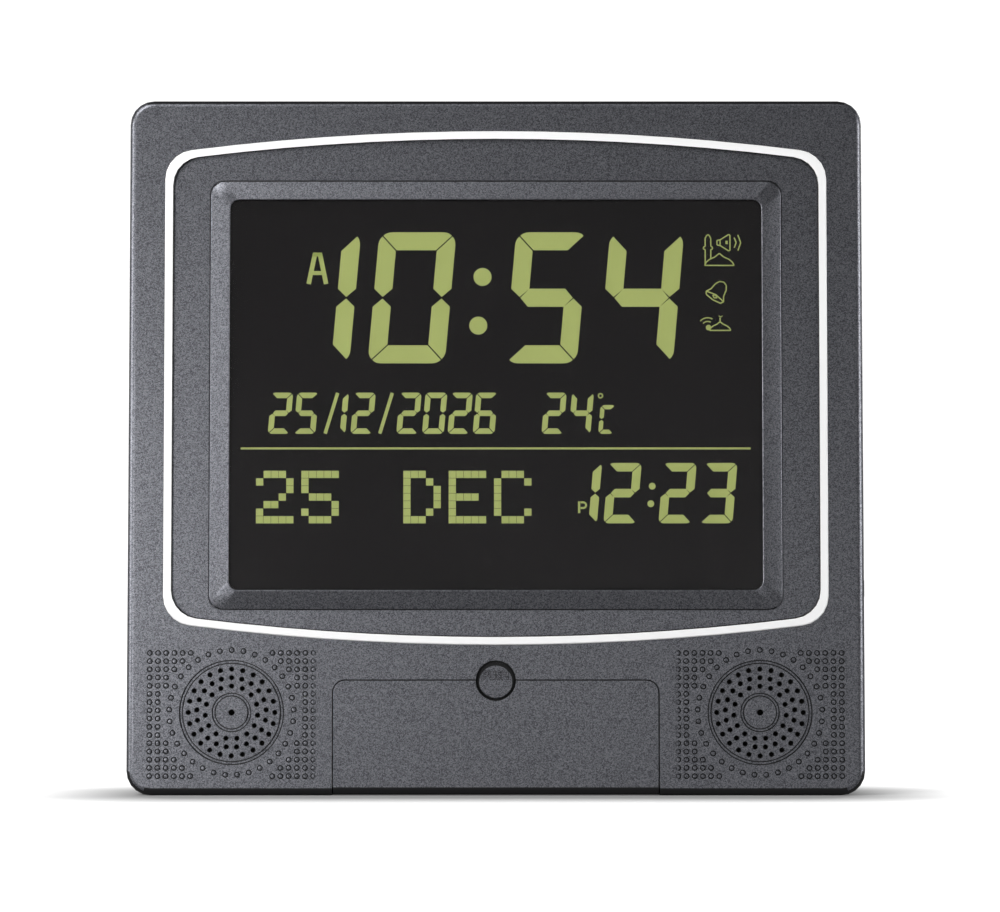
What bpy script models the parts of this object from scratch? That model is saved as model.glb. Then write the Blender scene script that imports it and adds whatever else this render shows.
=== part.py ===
"""Azan clock for a wall or a desk: a moulded two-shell case with a large display, two loudspeakers,
a flap over its keys, a round push button, a volume slide, a battery bay and a fold-out stand.

+X is the clock's right as its front is looked at, the front faces -Y and +Z is up.
The origin is on the surface that the clock stands on, below the middle of its box. Lengths are metres.
"""

import math

import bmesh
import bpy
from mathutils import Matrix, Vector

# Shared clearances
FIT = 0.0003
OVERRUN = 0.001
JOIN = 0.0004

# Case
CASE_WIDTH = 0.260
CASE_HEIGHT = 0.246
CASE_CORNER = 0.0085
FRONT_EDGE = 0.0026
REAR_EDGE = 0.005
WALL = 0.0025
FRONT_CASE_DEPTH = 0.020
LIP_DEPTH = 0.002
LIP_THICKNESS = 0.001
LIP_FOOT = 0.003

# Arched trim ring and the sunk field inside it
RING_SIDE = 0.013
RING_ABOVE = 0.0113
RING_OVER_DOOR = 0.0127
RING_ARC = 0.864
RING_CORNER = 0.0103
RING_BAND = 0.0027
RING_PROUD = 0.0005
RING_SEAT = 0.0012
RING_CHAMFER = 0.0003
FIELD_DEPTH = 0.0008

# Display bezel, lens and what lies behind them
BEZEL_SIDE = 0.0159
BEZEL_ABOVE = 0.01755
BEZEL_BELOW = 0.01215
BEZEL_BAND = 0.0071
BEZEL_CORNER = 0.0049
WINDOW_CORNER = 0.0032
BEZEL_RISE = 0.002
BEZEL_STEP = 0.0004
BEZEL_LAND = 0.0006
BEZEL_LIP = 0.0009
BEZEL_REBATE = 0.0008
LEDGE = 0.005
LENS_OVERLAP = 0.0012
LENS_THICKNESS = 0.0015
LCD_THICKNESS = 0.0028
ZEBRA_HEIGHT = 0.0044
ZEBRA_WIDTH = 0.0025
BOARD_THICKNESS = 0.0016
BOARD_SIDE = 0.0039
BOARD_END = 0.002
BOARD_TO_BATTERY = 0.0043
BOARD_POST_RADIUS = 0.0028
BOARD_POST_INSET = 0.0035

# Parts soldered to the main board
MAIN_CHIP_SIZE = 0.014
VOICE_CHIP_SIZE = 0.009
CHIP_HEIGHT = 0.0016
CHIP_OFFSET = 0.030
CRYSTAL_RADIUS = 0.0015
CRYSTAL_LENGTH = 0.006
SENSOR_RADIUS = 0.0014
SENSOR_LENGTH = 0.004

# Loudspeakers and their grilles
SPEAKER_SIDE = 0.0371
SPEAKER_Z = 0.0291
GRILLE_HOLE_RADIUS = 0.00081
GRILLE_CENTRE_RADIUS = 0.00113
GRILLE_RING_RADII = (0.00924, 0.0122, 0.0152)
GRILLE_RING_COUNTS = (15, 21, 24)
GROOVE_OUTER_RADIUS = 0.0184
GROOVE_INNER_RADIUS = 0.0069
GROOVE_WIDTH = 0.0013
GROOVE_DEPTH = 0.0005
SPEAKER_RADIUS = 0.0200
SPEAKER_RIM = 0.0022
SPEAKER_RIM_THICKNESS = 0.001
SPEAKER_DEPTH = 0.0062
SPEAKER_SHEET = 0.0006
SPEAKER_NECK = 0.0100
MAGNET_RADIUS = 0.0112
MAGNET_DEPTH = 0.0055
CONE_THICKNESS = 0.0005
DUST_CAP_RADIUS = 0.0055
SPEAKER_RIB = 0.0015
SPEAKER_RIB_HEIGHT = 0.004

# Flap over the keys, and the bay behind it
DOOR_TO_SPEAKER = 0.0357
DOOR_OVER_KEYS = 0.0138
DOOR_CORNER = 0.0042
DOOR_THICKNESS = 0.002
DOOR_GAP = 0.0004
HINGE_DEPTH = 0.0035
HINGE_HEIGHT = 0.0056
PIN_RADIUS = 0.001
PIN_LENGTH = 0.0019
EAR_THICKNESS = 0.002
EAR_RADIUS = 0.0022
BAY_DEPTH = 0.006
BAY_WALL = 0.002
BAY_SIDE = 0.0026
SWING_HEIGHT = 0.008
SWING_DEPTH = 0.0095

# Keys in the bay
KEY_COLUMNS = 4
KEY_ROWS = 2
KEY_SIDE = 0.0092
KEY_PITCH_Z = 0.011
KEY_FIRST_Z = 0.0155
KEY_HALF_WIDTH = 0.0045
KEY_HALF_HEIGHT = 0.0025
KEY_CORNER = 0.0012
KEY_RISE = 0.0025
KEY_CHAMFER = 0.0004
KEY_FLANGE = 0.001
KEY_STEM = 0.0015
KEY_TRAVEL = 0.0008

# Round push button at the flap's top edge
BUTTON_RADIUS = 0.00635
BUTTON_GAP = 0.0008
BUTTON_SUNK = 0.0009
BUTTON_CHAMFER = 0.0003
BUTTON_TRAVEL = 0.0015
BUTTON_FLANGE_REACH = 0.00045
BUTTON_FLANGE = 0.0015
BUTTON_STEM_RADIUS = 0.002
TUBE_WALL = 0.002
TUBE_LIP = 0.001
TUBE_END = 0.012
SPRING_WIRE_RADIUS = 0.0003
SPRING_RADIUS = 0.0032
SPRING_TURNS = 3

# Key board
SWITCH_SIZE = 0.006
SWITCH_HEIGHT = 0.0015
KEY_BOARD_SIDE = 0.0072
KEY_BOARD_LOW = 0.012
KEY_BOARD_ABOVE = 0.0057
KEY_POST_RADIUS = 0.0026
KEY_POST_INSET = 0.0035
KEY_POST_DROP = 0.0038
SWITCH_GAP = 0.0002

# Volume slide
KNOB_LENGTH = 0.0062
KNOB_LOW = 0.0698
KNOB_WIDTH = 0.004
KNOB_PROUD = 0.00093
KNOB_TRAVEL = 0.004
KNOB_FOOT = 0.003
KNOB_DEPTH = 0.012
SLIDE_BODY_DEPTH = 0.0060
SLIDE_BODY_WIDTH = 0.0080
SLIDE_BODY_LENGTH = 0.020

# Screws
CASE_SCREW_INSET = 0.012
CASE_SCREW_RADIUS = 0.0014
CASE_SCREW_LENGTH = 0.0175
SCREW_HOLE_RADIUS = 0.0017
SCREW_HEAD_RADIUS = 0.003
SCREW_HEAD_HEIGHT = 0.002
SCREW_SINK = 0.003
SCREW_SLOT_WIDTH = 0.0008
SCREW_SLOT_DEPTH = 0.0008
FRONT_POST_RADIUS = 0.0038
REAR_POST_RADIUS = 0.0048
BOARD_SCREW_RADIUS = 0.0011
BOARD_SCREW_HEAD = 0.0024
BOARD_SCREW_LENGTH = 0.0055
BOARD_HOLE_RADIUS = 0.0014

# Battery bay
CELL_COUNT = 4
CELL_RADIUS = 0.00725
CELL_LENGTH = 0.0505
CELL_NUB_RADIUS = 0.00275
CELL_NUB_LENGTH = 0.001
CELL_EDGE = 0.0005
CELL_GAP = 0.0005
BATTERY_TO_STAND = 0.0095
BATTERY_LOW = 0.056
CELL_SPRING_LENGTH = 0.0065
BATTERY_WALL = 0.0022
BATTERY_LEDGE = 0.0015
LID_THICKNESS = 0.002
LID_CORNER = 0.002
GRIP_COUNT = 5
GRIP_PITCH = 0.0016
GRIP_WIDTH = 0.0008
GRIP_DEPTH = 0.0006
GRIP_HALF_LENGTH = 0.007
GRIP_FROM_EDGE = 0.004
CONTACT_THICKNESS = 0.0004
CONTACT_HALF_WIDTH = 0.0055
CONTACT_HALF_DEPTH = 0.006
CELL_SPRING_WIRE = 0.00035
CELL_SPRING_WIDE = 0.0042
CELL_SPRING_NARROW = 0.0026
CELL_SPRING_TURNS = 2

# Fold-out stand
STAND_HALF_WIDTH = 0.027
STAND_THICKNESS = 0.003
STAND_LOW = 0.006
STAND_AXIS_Z = 0.115
STAND_CORNER = 0.006
STAND_RIM = 0.003
STAND_PANEL = 0.0013
STAND_SIDE_GAP = 0.0004
STAND_RECESS = 0.0038
STAND_FLOOR = 0.002
STAND_PIN_RADIUS = 0.0012
STAND_PIN_LENGTH = 0.0015
SCOOP_RADIUS = 0.008
SCOOP_Z = 0.022

# Key-hole slots for hanging
HANG_SIDE = 0.060
HANG_DROP = 0.043
HANG_HEAD_RADIUS = 0.0046
HANG_SLOT_RADIUS = 0.0024
HANG_SLOT_LENGTH = 0.009
HANG_SLOT_CORNER = 0.0021

# How finely round shapes are faceted
CORNER_STEPS = 5
EDGE_STEPS = 3
KEY_STEPS = 1
ARC_STEPS = 7
RING_CORNER_STEPS = 5
HOLE_STEPS = 6
SMALL_STEPS = 10
POST_STEPS = 12
SPEAKER_STEPS = 16
DISC_STEPS = 20
COIL_STEPS = 8
SMOOTH_ANGLE = math.radians(35)

# Places and outlines worked out from the sizes above
DOOR_TOP = KEY_FIRST_Z + (KEY_ROWS - 1) * KEY_PITCH_Z + DOOR_OVER_KEYS
RING_LOW = DOOR_TOP + RING_OVER_DOOR
RING_HALF_WIDTH = CASE_WIDTH / 2 - RING_SIDE
RING_HALF_HEIGHT = (CASE_HEIGHT - RING_ABOVE - RING_LOW) / 2
RING_CENTRE_Z = RING_LOW + RING_HALF_HEIGHT
BEZEL_HALF_WIDTH = RING_HALF_WIDTH - BEZEL_SIDE
BEZEL_HALF_HEIGHT = RING_HALF_HEIGHT - (BEZEL_ABOVE + BEZEL_BELOW) / 2
DISPLAY_Z = RING_LOW + BEZEL_BELOW + BEZEL_HALF_HEIGHT
BOARD_HALF_WIDTH = BEZEL_HALF_WIDTH + BOARD_SIDE
BOARD_HALF_HEIGHT = BEZEL_HALF_HEIGHT - BOARD_END
SPEAKER_X = CASE_WIDTH / 2 - SPEAKER_SIDE
DOOR_HALF_WIDTH = SPEAKER_X - DOOR_TO_SPEAKER
KEY_PITCH_X = (DOOR_HALF_WIDTH - KEY_SIDE) * 2 / KEY_COLUMNS
KEY_BOARD_HALF_WIDTH = DOOR_HALF_WIDTH - KEY_BOARD_SIDE
KEY_BOARD_HIGH = DOOR_TOP + KEY_BOARD_ABOVE
KEY_POST_X = KEY_BOARD_HALF_WIDTH - KEY_POST_INSET
KEY_POST_Z = DOOR_TOP - KEY_POST_DROP
CELL_PITCH = 2 * CELL_RADIUS + CELL_GAP
CELL_SEAT = FIT + CONTACT_THICKNESS + FIT
BATTERY_HALF_LENGTH = (CELL_LENGTH + CELL_SPRING_LENGTH + 2 * CELL_SEAT) / 2
BATTERY_X = STAND_HALF_WIDTH + BATTERY_TO_STAND + BATTERY_HALF_LENGTH
HANG_X = CASE_WIDTH / 2 - HANG_SIDE
HANG_Z = CASE_HEIGHT - HANG_DROP
DISPLAY_STACK = BEZEL_LIP + LENS_THICKNESS + LCD_THICKNESS + ZEBRA_HEIGHT + BOARD_THICKNESS + 4 * FIT
BATTERY_STACK = BATTERY_WALL + 2 * CELL_RADIUS + LID_THICKNESS + 2 * FIT
CASE_DEPTH = DISPLAY_STACK - BEZEL_RISE + BOARD_TO_BATTERY + BATTERY_STACK
FRONT = -(CASE_DEPTH - BEZEL_RISE) / 2
REAR = FRONT + CASE_DEPTH
SPLIT = FRONT + FRONT_CASE_DEPTH
FIELD = FRONT + FIELD_DEPTH
INNER_FRONT = FRONT + WALL
INNER_REAR = REAR - WALL
BEZEL_TOP = FRONT - BEZEL_RISE
BEZEL_FOOT = FIELD + BEZEL_REBATE - FIT
LENS_FRONT = BEZEL_TOP + BEZEL_LIP + FIT
LENS_BACK = LENS_FRONT + LENS_THICKNESS
LCD_FRONT = LENS_BACK + FIT
LCD_BACK = LCD_FRONT + LCD_THICKNESS
ZEBRA_FRONT = LCD_BACK + FIT
ZEBRA_BACK = ZEBRA_FRONT + ZEBRA_HEIGHT
BOARD_FRONT = ZEBRA_BACK + FIT
BOARD_BACK = BOARD_FRONT + BOARD_THICKNESS
LENS_INSET = BEZEL_BAND - LENS_OVERLAP
HINGE_Y = FRONT + HINGE_DEPTH
EAR_END = DOOR_HALF_WIDTH - JOIN / 2
BAY_FLOOR = FRONT + BAY_DEPTH
BAY_BACK = BAY_FLOOR + BAY_WALL
BAY_HALF_WIDTH = DOOR_HALF_WIDTH + DOOR_GAP
BAY_TOP = DOOR_TOP + DOOR_GAP
BUTTON_HOLE_RADIUS = BUTTON_RADIUS + BUTTON_GAP
BUTTON_FLANGE_RADIUS = BUTTON_HOLE_RADIUS + BUTTON_FLANGE_REACH
TUBE_RADIUS = BUTTON_FLANGE_RADIUS + FIT
TUBE_FRONT = FRONT + DOOR_THICKNESS + FIT
TUBE_BACK = FRONT + TUBE_END
TUBE_FLOOR = TUBE_BACK - TUBE_WALL
BUTTON_SHOULDER = TUBE_FRONT + TUBE_LIP + FIT
SWITCH_FRONT = TUBE_BACK + JOIN + JOIN
KEY_BOARD_FRONT = SWITCH_FRONT + SWITCH_HEIGHT
KEY_BOARD_BACK = KEY_BOARD_FRONT + BOARD_THICKNESS
KNOB_Y = FRONT + KNOB_DEPTH
KNOB_Z = KNOB_LOW + KNOB_LENGTH / 2
SIDE_INNER = CASE_WIDTH / 2 - WALL
LID_FRONT = REAR - LID_THICKNESS
CELL_Y = LID_FRONT - FIT - CELL_RADIUS
BATTERY_FLOOR = CELL_Y - CELL_RADIUS - FIT
BATTERY_HIGH = BATTERY_LOW + CELL_COUNT * CELL_PITCH + 2 * FIT
BATTERY_Z = (BATTERY_LOW + BATTERY_HIGH) / 2
BATTERY_HALF_HEIGHT = (BATTERY_HIGH - BATTERY_LOW) / 2
STAND_FRONT = REAR - STAND_RECESS
STAND_Y = REAR - FIT - STAND_THICKNESS / 2
SIDES = (("left", -1), ("right", 1))


def clear_scene():
    for item in list(bpy.data.objects):
        bpy.data.objects.remove(item)


def look(name, colour, roughness, metallic=0.0):
    """A plain Principled material of one linear colour."""
    made = bpy.data.materials.new(name)
    made.use_nodes = True
    shader = made.node_tree.nodes["Principled BSDF"]
    shader.inputs["Base Color"].default_value = (*colour, 1.0)
    shader.inputs["Roughness"].default_value = roughness
    shader.inputs["Metallic"].default_value = metallic
    return made


def new_object(name, shape, finish):
    """Turns a bmesh into an object whose faces point out, with its round faces shaded smooth."""
    bmesh.ops.recalc_face_normals(shape, faces=shape.faces)
    mesh = bpy.data.meshes.new(name)
    shape.to_mesh(mesh)
    shape.free()
    mesh.shade_smooth()
    mesh.set_sharp_from_angle(angle=SMOOTH_ANGLE)
    if finish:
        mesh.materials.append(finish)
    piece = bpy.data.objects.new(name, mesh)
    bpy.context.scene.collection.objects.link(piece)
    return piece


def tool(name, shape):
    """A helper solid that only cuts another piece or is joined to it."""
    piece = new_object(name, shape, None)
    piece.hide_render = True
    piece.display_type = "WIRE"
    return piece


def combine(piece, operation, other):
    step = piece.modifiers.new(other.name, "BOOLEAN")
    step.operation = operation
    step.object = other
    step.solver = "EXACT"


def cut(piece, other):
    combine(piece, "DIFFERENCE", other)


def join(piece, other):
    combine(piece, "UNION", other)


def set_origin(piece, point):
    """Moves an object's origin to a point, such as its joint's axis, and leaves its shape in place."""
    piece.data.transform(Matrix.Translation(-Vector(point)))
    piece.location = point


def quarter(steps):
    return [math.pi / 2 * step / steps for step in range(steps + 1)]


def edge_round(radius, steps=EDGE_STEPS):
    """Pairs of inset and advance along a quarter-round edge, from the flat face to the side."""
    return [(radius * (1 - math.sin(turn)), radius * (1 - math.cos(turn))) for turn in quarter(steps)]


def rounded_loop(half_width, half_height, corner, depth, centre_x, centre_z, steps=CORNER_STEPS):
    """A rectangle with round corners, in the plane Y = depth."""
    points = []
    for quadrant, (sign_x, sign_z) in enumerate(((1, 1), (-1, 1), (-1, -1), (1, -1))):
        for turn in quarter(steps):
            angle = quadrant * math.pi / 2 + turn
            x = centre_x + sign_x * (half_width - corner) + corner * math.cos(angle)
            z = centre_z + sign_z * (half_height - corner) + corner * math.sin(angle)
            points.append((x, depth, z))
    return points


def circle_loop(radius, depth, centre, axis, steps):
    """A circle round an axis along X or Y. The centre gives the other two coordinates."""
    points = []
    for step in range(steps):
        angle = 2 * math.pi * step / steps
        across = centre[0] + radius * math.cos(angle)
        up = centre[1] + radius * math.sin(angle)
        points.append((depth, across, up) if axis == "X" else (across, depth, up))
    return points


def add_loft(shape, loops, ring=False):
    """Skins loops of equal count. A ring joins last to first, and otherwise both ends are capped."""
    rows = [[shape.verts.new(point) for point in loop] for loop in loops]
    pairs = list(zip(rows, rows[1:]))
    if ring:
        pairs.append((rows[-1], rows[0]))
    for first, second in pairs:
        for here in range(len(first)):
            after = (here + 1) % len(first)
            shape.faces.new((first[here], first[after], second[after], second[here]))
    if not ring:
        shape.faces.new(rows[0])
        shape.faces.new(tuple(reversed(rows[-1])))


def add_turned(shape, profile, centre, axis="Y", steps=SMALL_STEPS, ring=False):
    """A turned shape: the profile gives radius and depth along the axis."""
    add_loft(shape, [circle_loop(radius, depth, centre, axis, steps) for radius, depth in profile], ring)


def add_box(shape, low, high):
    middle = [(a + b) / 2 for a, b in zip(low, high)]
    size = [b - a for a, b in zip(low, high)]
    place = Matrix.Translation(middle) @ Matrix.Diagonal((*size, 1))
    bmesh.ops.create_cube(shape, size=1, matrix=place)


def box_of(low, high):
    shape = bmesh.new()
    add_box(shape, low, high)
    return shape


def loft_of(loops, ring=False):
    shape = bmesh.new()
    add_loft(shape, loops, ring)
    return shape


def turned_of(profile, centre, axis="Y", steps=SMALL_STEPS, ring=False):
    shape = bmesh.new()
    add_turned(shape, profile, centre, axis, steps, ring)
    return shape


def case_loop(inset, depth):
    """The case's outline, drawn in by an inset."""
    return rounded_loop(
        CASE_WIDTH / 2 - inset, CASE_HEIGHT / 2 - inset, CASE_CORNER - inset, depth, 0, CASE_HEIGHT / 2
    )


def arched_loop(inset, depth):
    """The trim ring's outline: upright sides, arched top and bottom, and a round corner between them."""
    half_width = RING_HALF_WIDTH - inset
    arc = RING_ARC - inset
    arc_centre = RING_HALF_HEIGHT - inset - arc
    corner_x = half_width - RING_CORNER
    corner_z = arc_centre + math.sqrt((arc - RING_CORNER) ** 2 - corner_x**2)
    lean = math.atan2(corner_z - arc_centre, corner_x)
    upper = []
    for step in range(RING_CORNER_STEPS + 1):
        angle = lean * step / RING_CORNER_STEPS
        upper.append((corner_x + RING_CORNER * math.cos(angle), corner_z + RING_CORNER * math.sin(angle)))
    for step in range(1, ARC_STEPS + 1):
        angle = lean + (math.pi / 2 - lean) * step / ARC_STEPS
        upper.append((arc * math.cos(angle), arc_centre + arc * math.sin(angle)))
    top = upper + [(-x, z) for x, z in reversed(upper[:-1])]
    outline = top + [(-x, -z) for x, z in top]
    return [(x, depth, RING_CENTRE_Z + z) for x, z in outline]


def bezel_loop(inset, depth):
    """The bezel's outline, drawn in by an inset, with its corner tightening towards the window."""
    corner = BEZEL_CORNER + (WINDOW_CORNER - BEZEL_CORNER) * inset / BEZEL_BAND
    return rounded_loop(BEZEL_HALF_WIDTH - inset, BEZEL_HALF_HEIGHT - inset, corner, depth, 0, DISPLAY_Z)


def speaker_points():
    return [(name, sign * SPEAKER_X) for name, sign in SIDES]


def key_points():
    """Each key's middle, row by row from the lower left."""
    first_x = -(KEY_COLUMNS - 1) * KEY_PITCH_X / 2
    rows = [KEY_FIRST_Z + row * KEY_PITCH_Z for row in range(KEY_ROWS)]
    return [(first_x + column * KEY_PITCH_X, z) for z in rows for column in range(KEY_COLUMNS)]


def case_screw_points():
    x = CASE_WIDTH / 2 - CASE_SCREW_INSET
    heights = (CASE_SCREW_INSET, CASE_HEIGHT - CASE_SCREW_INSET)
    return [(sign * x, z) for z in heights for _, sign in SIDES]


def board_screw_points():
    x = BOARD_HALF_WIDTH - BOARD_POST_INSET
    reach = BOARD_HALF_HEIGHT - BOARD_POST_INSET
    return [(sign * x, DISPLAY_Z + up * reach) for up in (-1, 1) for _, sign in SIDES]


def key_screw_points():
    return [(sign * KEY_POST_X, KEY_POST_Z) for _, sign in SIDES]


def cell_height(index):
    return BATTERY_LOW + FIT + CELL_PITCH * (index + 0.5)


# Front case: a moulded shell with every opening, post and rib in it
def make_front_case(plastic):
    rim = SPLIT - FIT / 2
    outside = [case_loop(inset, FRONT + advance) for inset, advance in edge_round(FRONT_EDGE)]
    inside = [case_loop(WALL, rim), case_loop(WALL, INNER_FRONT)]
    case = new_object("front_case", loft_of(outside + [case_loop(0, rim)] + inside), plastic)
    join(case, tool("front_posts", front_posts()))
    join(case, tool("key_bay_block", key_bay_block()))
    join(case, tool("swing_block", swing_block()))
    ahead = FRONT - OVERRUN
    cut(case, tool("field_cutter", loft_of([arched_loop(RING_BAND / 2, y) for y in (ahead, FIELD)])))
    cut(case, tool("ring_groove", ring_groove()))
    cut(case, tool("bezel_rebate", loft_of([bezel_loop(-FIT, y) for y in (ahead, FIELD + BEZEL_REBATE)])))
    cut(case, tool("window_cutter", loft_of([bezel_loop(LEDGE, y) for y in (FRONT, INNER_FRONT + OVERRUN)])))
    cut(case, tool("bay_cutter", door_outline(DOOR_GAP, ahead, BAY_FLOOR)))
    cut(case, tool("swing_cutter", swing_cutter()))
    join(case, tool("button_tube", button_tube()))
    cut(case, tool("button_hole", button_hole()))
    cut(case, tool("key_holes", key_holes()))
    cut(case, tool("hinge_sockets", hinge_sockets()))
    cut(case, tool("knob_slot", knob_slot()))
    cut(case, tool("grille_holes", grille_holes()))
    cut(case, tool("grille_grooves", grille_grooves()))
    cut(case, tool("front_pilot_holes", front_pilot_holes()))


def front_posts():
    """Screw posts, board posts and the ribs that hold the loudspeakers, all standing on the front wall."""
    shape = bmesh.new()
    root = INNER_FRONT - JOIN
    for point in case_screw_points():
        add_turned(shape, ((FRONT_POST_RADIUS, root), (FRONT_POST_RADIUS, SPLIT - FIT / 2)), point)
    for point in board_screw_points():
        add_turned(shape, ((BOARD_POST_RADIUS, root), (BOARD_POST_RADIUS, BOARD_FRONT - FIT)), point)
    inner = SPEAKER_RADIUS + FIT
    for _, x in speaker_points():
        section = (
            (inner, root),
            (inner, INNER_FRONT + SPEAKER_RIB_HEIGHT),
            (inner + SPEAKER_RIB, INNER_FRONT + SPEAKER_RIB_HEIGHT),
            (inner + SPEAKER_RIB, root),
        )
        add_turned(shape, section, (x, SPEAKER_Z), steps=SPEAKER_STEPS, ring=True)
    return shape


def key_bay_block():
    """Solid block that the key bay is cut from."""
    half_width = BAY_HALF_WIDTH + BAY_SIDE
    return box_of((-half_width, FRONT + WALL / 2, WALL / 2), (half_width, BAY_BACK, BAY_TOP + BAY_WALL))


def swing_block():
    """Deeper block along the foot, round the pocket for the flap's lower edge, and the key board's posts."""
    half_width = BAY_HALF_WIDTH + BAY_SIDE - JOIN
    back = FRONT + SWING_DEPTH + BAY_WALL
    low = (-half_width, FRONT + WALL, WALL / 2 + JOIN)
    shape = box_of(low, (half_width, back, SWING_HEIGHT + BAY_WALL))
    section = ((KEY_POST_RADIUS, BAY_BACK - JOIN), (KEY_POST_RADIUS, KEY_BOARD_FRONT - FIT))
    for point in key_screw_points():
        add_turned(shape, section, point)
    return shape


def ring_groove():
    outer = -FIT
    inner = RING_BAND + FIT
    floor = FRONT + RING_SEAT
    section = ((outer, FRONT - OVERRUN), (outer, floor), (inner, floor), (inner, FRONT - OVERRUN))
    return loft_of([arched_loop(inset, y) for inset, y in section], ring=True)


def door_outline(gap, front, back):
    """Upright-sided outline with round top corners, running down past the case's foot."""
    half_height = (DOOR_TOP + gap + 2 * DOOR_CORNER) / 2
    centre_z = DOOR_TOP + gap - half_height
    sides = (DOOR_HALF_WIDTH + gap, half_height, DOOR_CORNER + gap)
    return loft_of([rounded_loop(*sides, y, 0, centre_z) for y in (front, back)])


def swing_cutter():
    low = (-BAY_HALF_WIDTH, FRONT - OVERRUN, -OVERRUN)
    return box_of(low, (BAY_HALF_WIDTH, FRONT + SWING_DEPTH, SWING_HEIGHT))


def button_tube():
    outer = TUBE_RADIUS + TUBE_WALL
    return turned_of(((outer, TUBE_FRONT), (outer, TUBE_BACK)), (0, DOOR_TOP), steps=DISC_STEPS)


def button_hole():
    """Hole for the button, wider behind its lip, narrow again for the stem."""
    profile = (
        (BUTTON_HOLE_RADIUS, FRONT - OVERRUN),
        (BUTTON_HOLE_RADIUS, TUBE_FRONT + TUBE_LIP),
        (TUBE_RADIUS, TUBE_FRONT + TUBE_LIP),
        (TUBE_RADIUS, TUBE_FLOOR),
        (BUTTON_STEM_RADIUS + FIT, TUBE_FLOOR),
        (BUTTON_STEM_RADIUS + FIT, TUBE_BACK + OVERRUN),
    )
    return turned_of(profile, (0, DOOR_TOP), steps=DISC_STEPS)


def key_holes():
    shape = bmesh.new()
    for x, z in key_points():
        sides = (KEY_HALF_WIDTH + FIT, KEY_HALF_HEIGHT + FIT, KEY_CORNER + FIT)
        run = (FRONT + DOOR_THICKNESS, BAY_BACK + OVERRUN)
        add_loft(shape, [rounded_loop(*sides, y, x, z, KEY_STEPS) for y in run])
    return shape


def hinge_sockets():
    shape = bmesh.new()
    reach = EAR_END + PIN_LENGTH + FIT
    for _, sign in SIDES:
        section = ((PIN_RADIUS + FIT, sign * EAR_END), (PIN_RADIUS + FIT, sign * reach))
        add_turned(shape, section, (HINGE_Y, HINGE_HEIGHT), axis="X")
    return shape


def knob_slot():
    half_width = KNOB_WIDTH / 2 + FIT
    low = (SIDE_INNER - OVERRUN, KNOB_Y - half_width, KNOB_LOW - KNOB_TRAVEL - FIT)
    return box_of(low, (CASE_WIDTH / 2 + OVERRUN, KNOB_Y + half_width, KNOB_LOW + KNOB_LENGTH + FIT))


def grille_holes():
    """Rings of small round holes through the front wall, each ring starting at the top."""
    shape = bmesh.new()
    run = (FRONT - OVERRUN, INNER_FRONT + OVERRUN)
    for _, x in speaker_points():
        add_turned(shape, [(GRILLE_CENTRE_RADIUS, y) for y in run], (x, SPEAKER_Z), steps=SMALL_STEPS)
        for radius, count in zip(GRILLE_RING_RADII, GRILLE_RING_COUNTS):
            for index in range(count):
                angle = math.pi / 2 + 2 * math.pi * index / count
                centre = (x + radius * math.cos(angle), SPEAKER_Z + radius * math.sin(angle))
                add_turned(shape, [(GRILLE_HOLE_RADIUS, y) for y in run], centre, steps=HOLE_STEPS)
    return shape


def grille_grooves():
    shape = bmesh.new()
    for _, x in speaker_points():
        for outer in (GROOVE_OUTER_RADIUS, GROOVE_INNER_RADIUS):
            inner = outer - GROOVE_WIDTH
            floor = FRONT + GROOVE_DEPTH
            section = ((outer, FRONT - OVERRUN), (outer, floor), (inner, floor), (inner, FRONT - OVERRUN))
            add_turned(shape, section, (x, SPEAKER_Z), steps=DISC_STEPS, ring=True)
    return shape


def front_pilot_holes():
    shape = bmesh.new()
    for point in case_screw_points():
        end = REAR - SCREW_SINK + FIT - CASE_SCREW_LENGTH - OVERRUN
        add_turned(shape, ((SCREW_HOLE_RADIUS, end), (SCREW_HOLE_RADIUS, SPLIT + OVERRUN)), point)
    for point in board_screw_points():
        end = BOARD_BACK + FIT - BOARD_SCREW_LENGTH - FIT
        add_turned(shape, ((BOARD_HOLE_RADIUS, end), (BOARD_HOLE_RADIUS, BOARD_FRONT + OVERRUN)), point)
    for point in key_screw_points():
        end = KEY_BOARD_BACK + FIT - BOARD_SCREW_LENGTH - FIT
        add_turned(shape, ((BOARD_HOLE_RADIUS, end), (BOARD_HOLE_RADIUS, KEY_BOARD_FRONT + OVERRUN)), point)
    return shape


# Trim ring: one bright arched band, its edges broken by a small chamfer
def make_trim_ring(chrome):
    top = FRONT - RING_PROUD
    foot = FRONT + RING_SEAT - FIT
    section = (
        (0, foot),
        (0, top + RING_CHAMFER),
        (RING_CHAMFER, top),
        (RING_BAND - RING_CHAMFER, top),
        (RING_BAND, top + RING_CHAMFER),
        (RING_BAND, foot),
    )
    new_object("trim_ring", loft_of([arched_loop(inset, y) for inset, y in section], ring=True), chrome)


# Bezel: a frame with sloping sides that stands proud of the case and holds the lens behind its lip
def make_bezel(plastic):
    section = (
        (0, BEZEL_FOOT),
        (0, FIELD - BEZEL_STEP),
        (BEZEL_BAND - BEZEL_LAND, BEZEL_TOP),
        (BEZEL_BAND, BEZEL_TOP),
        (BEZEL_BAND, BEZEL_TOP + BEZEL_LIP),
        (LENS_INSET - FIT, BEZEL_TOP + BEZEL_LIP),
        (LENS_INSET - FIT, BEZEL_FOOT),
    )
    new_object("lcd_bezel", loft_of([bezel_loop(inset, y) for inset, y in section], ring=True), plastic)


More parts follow.
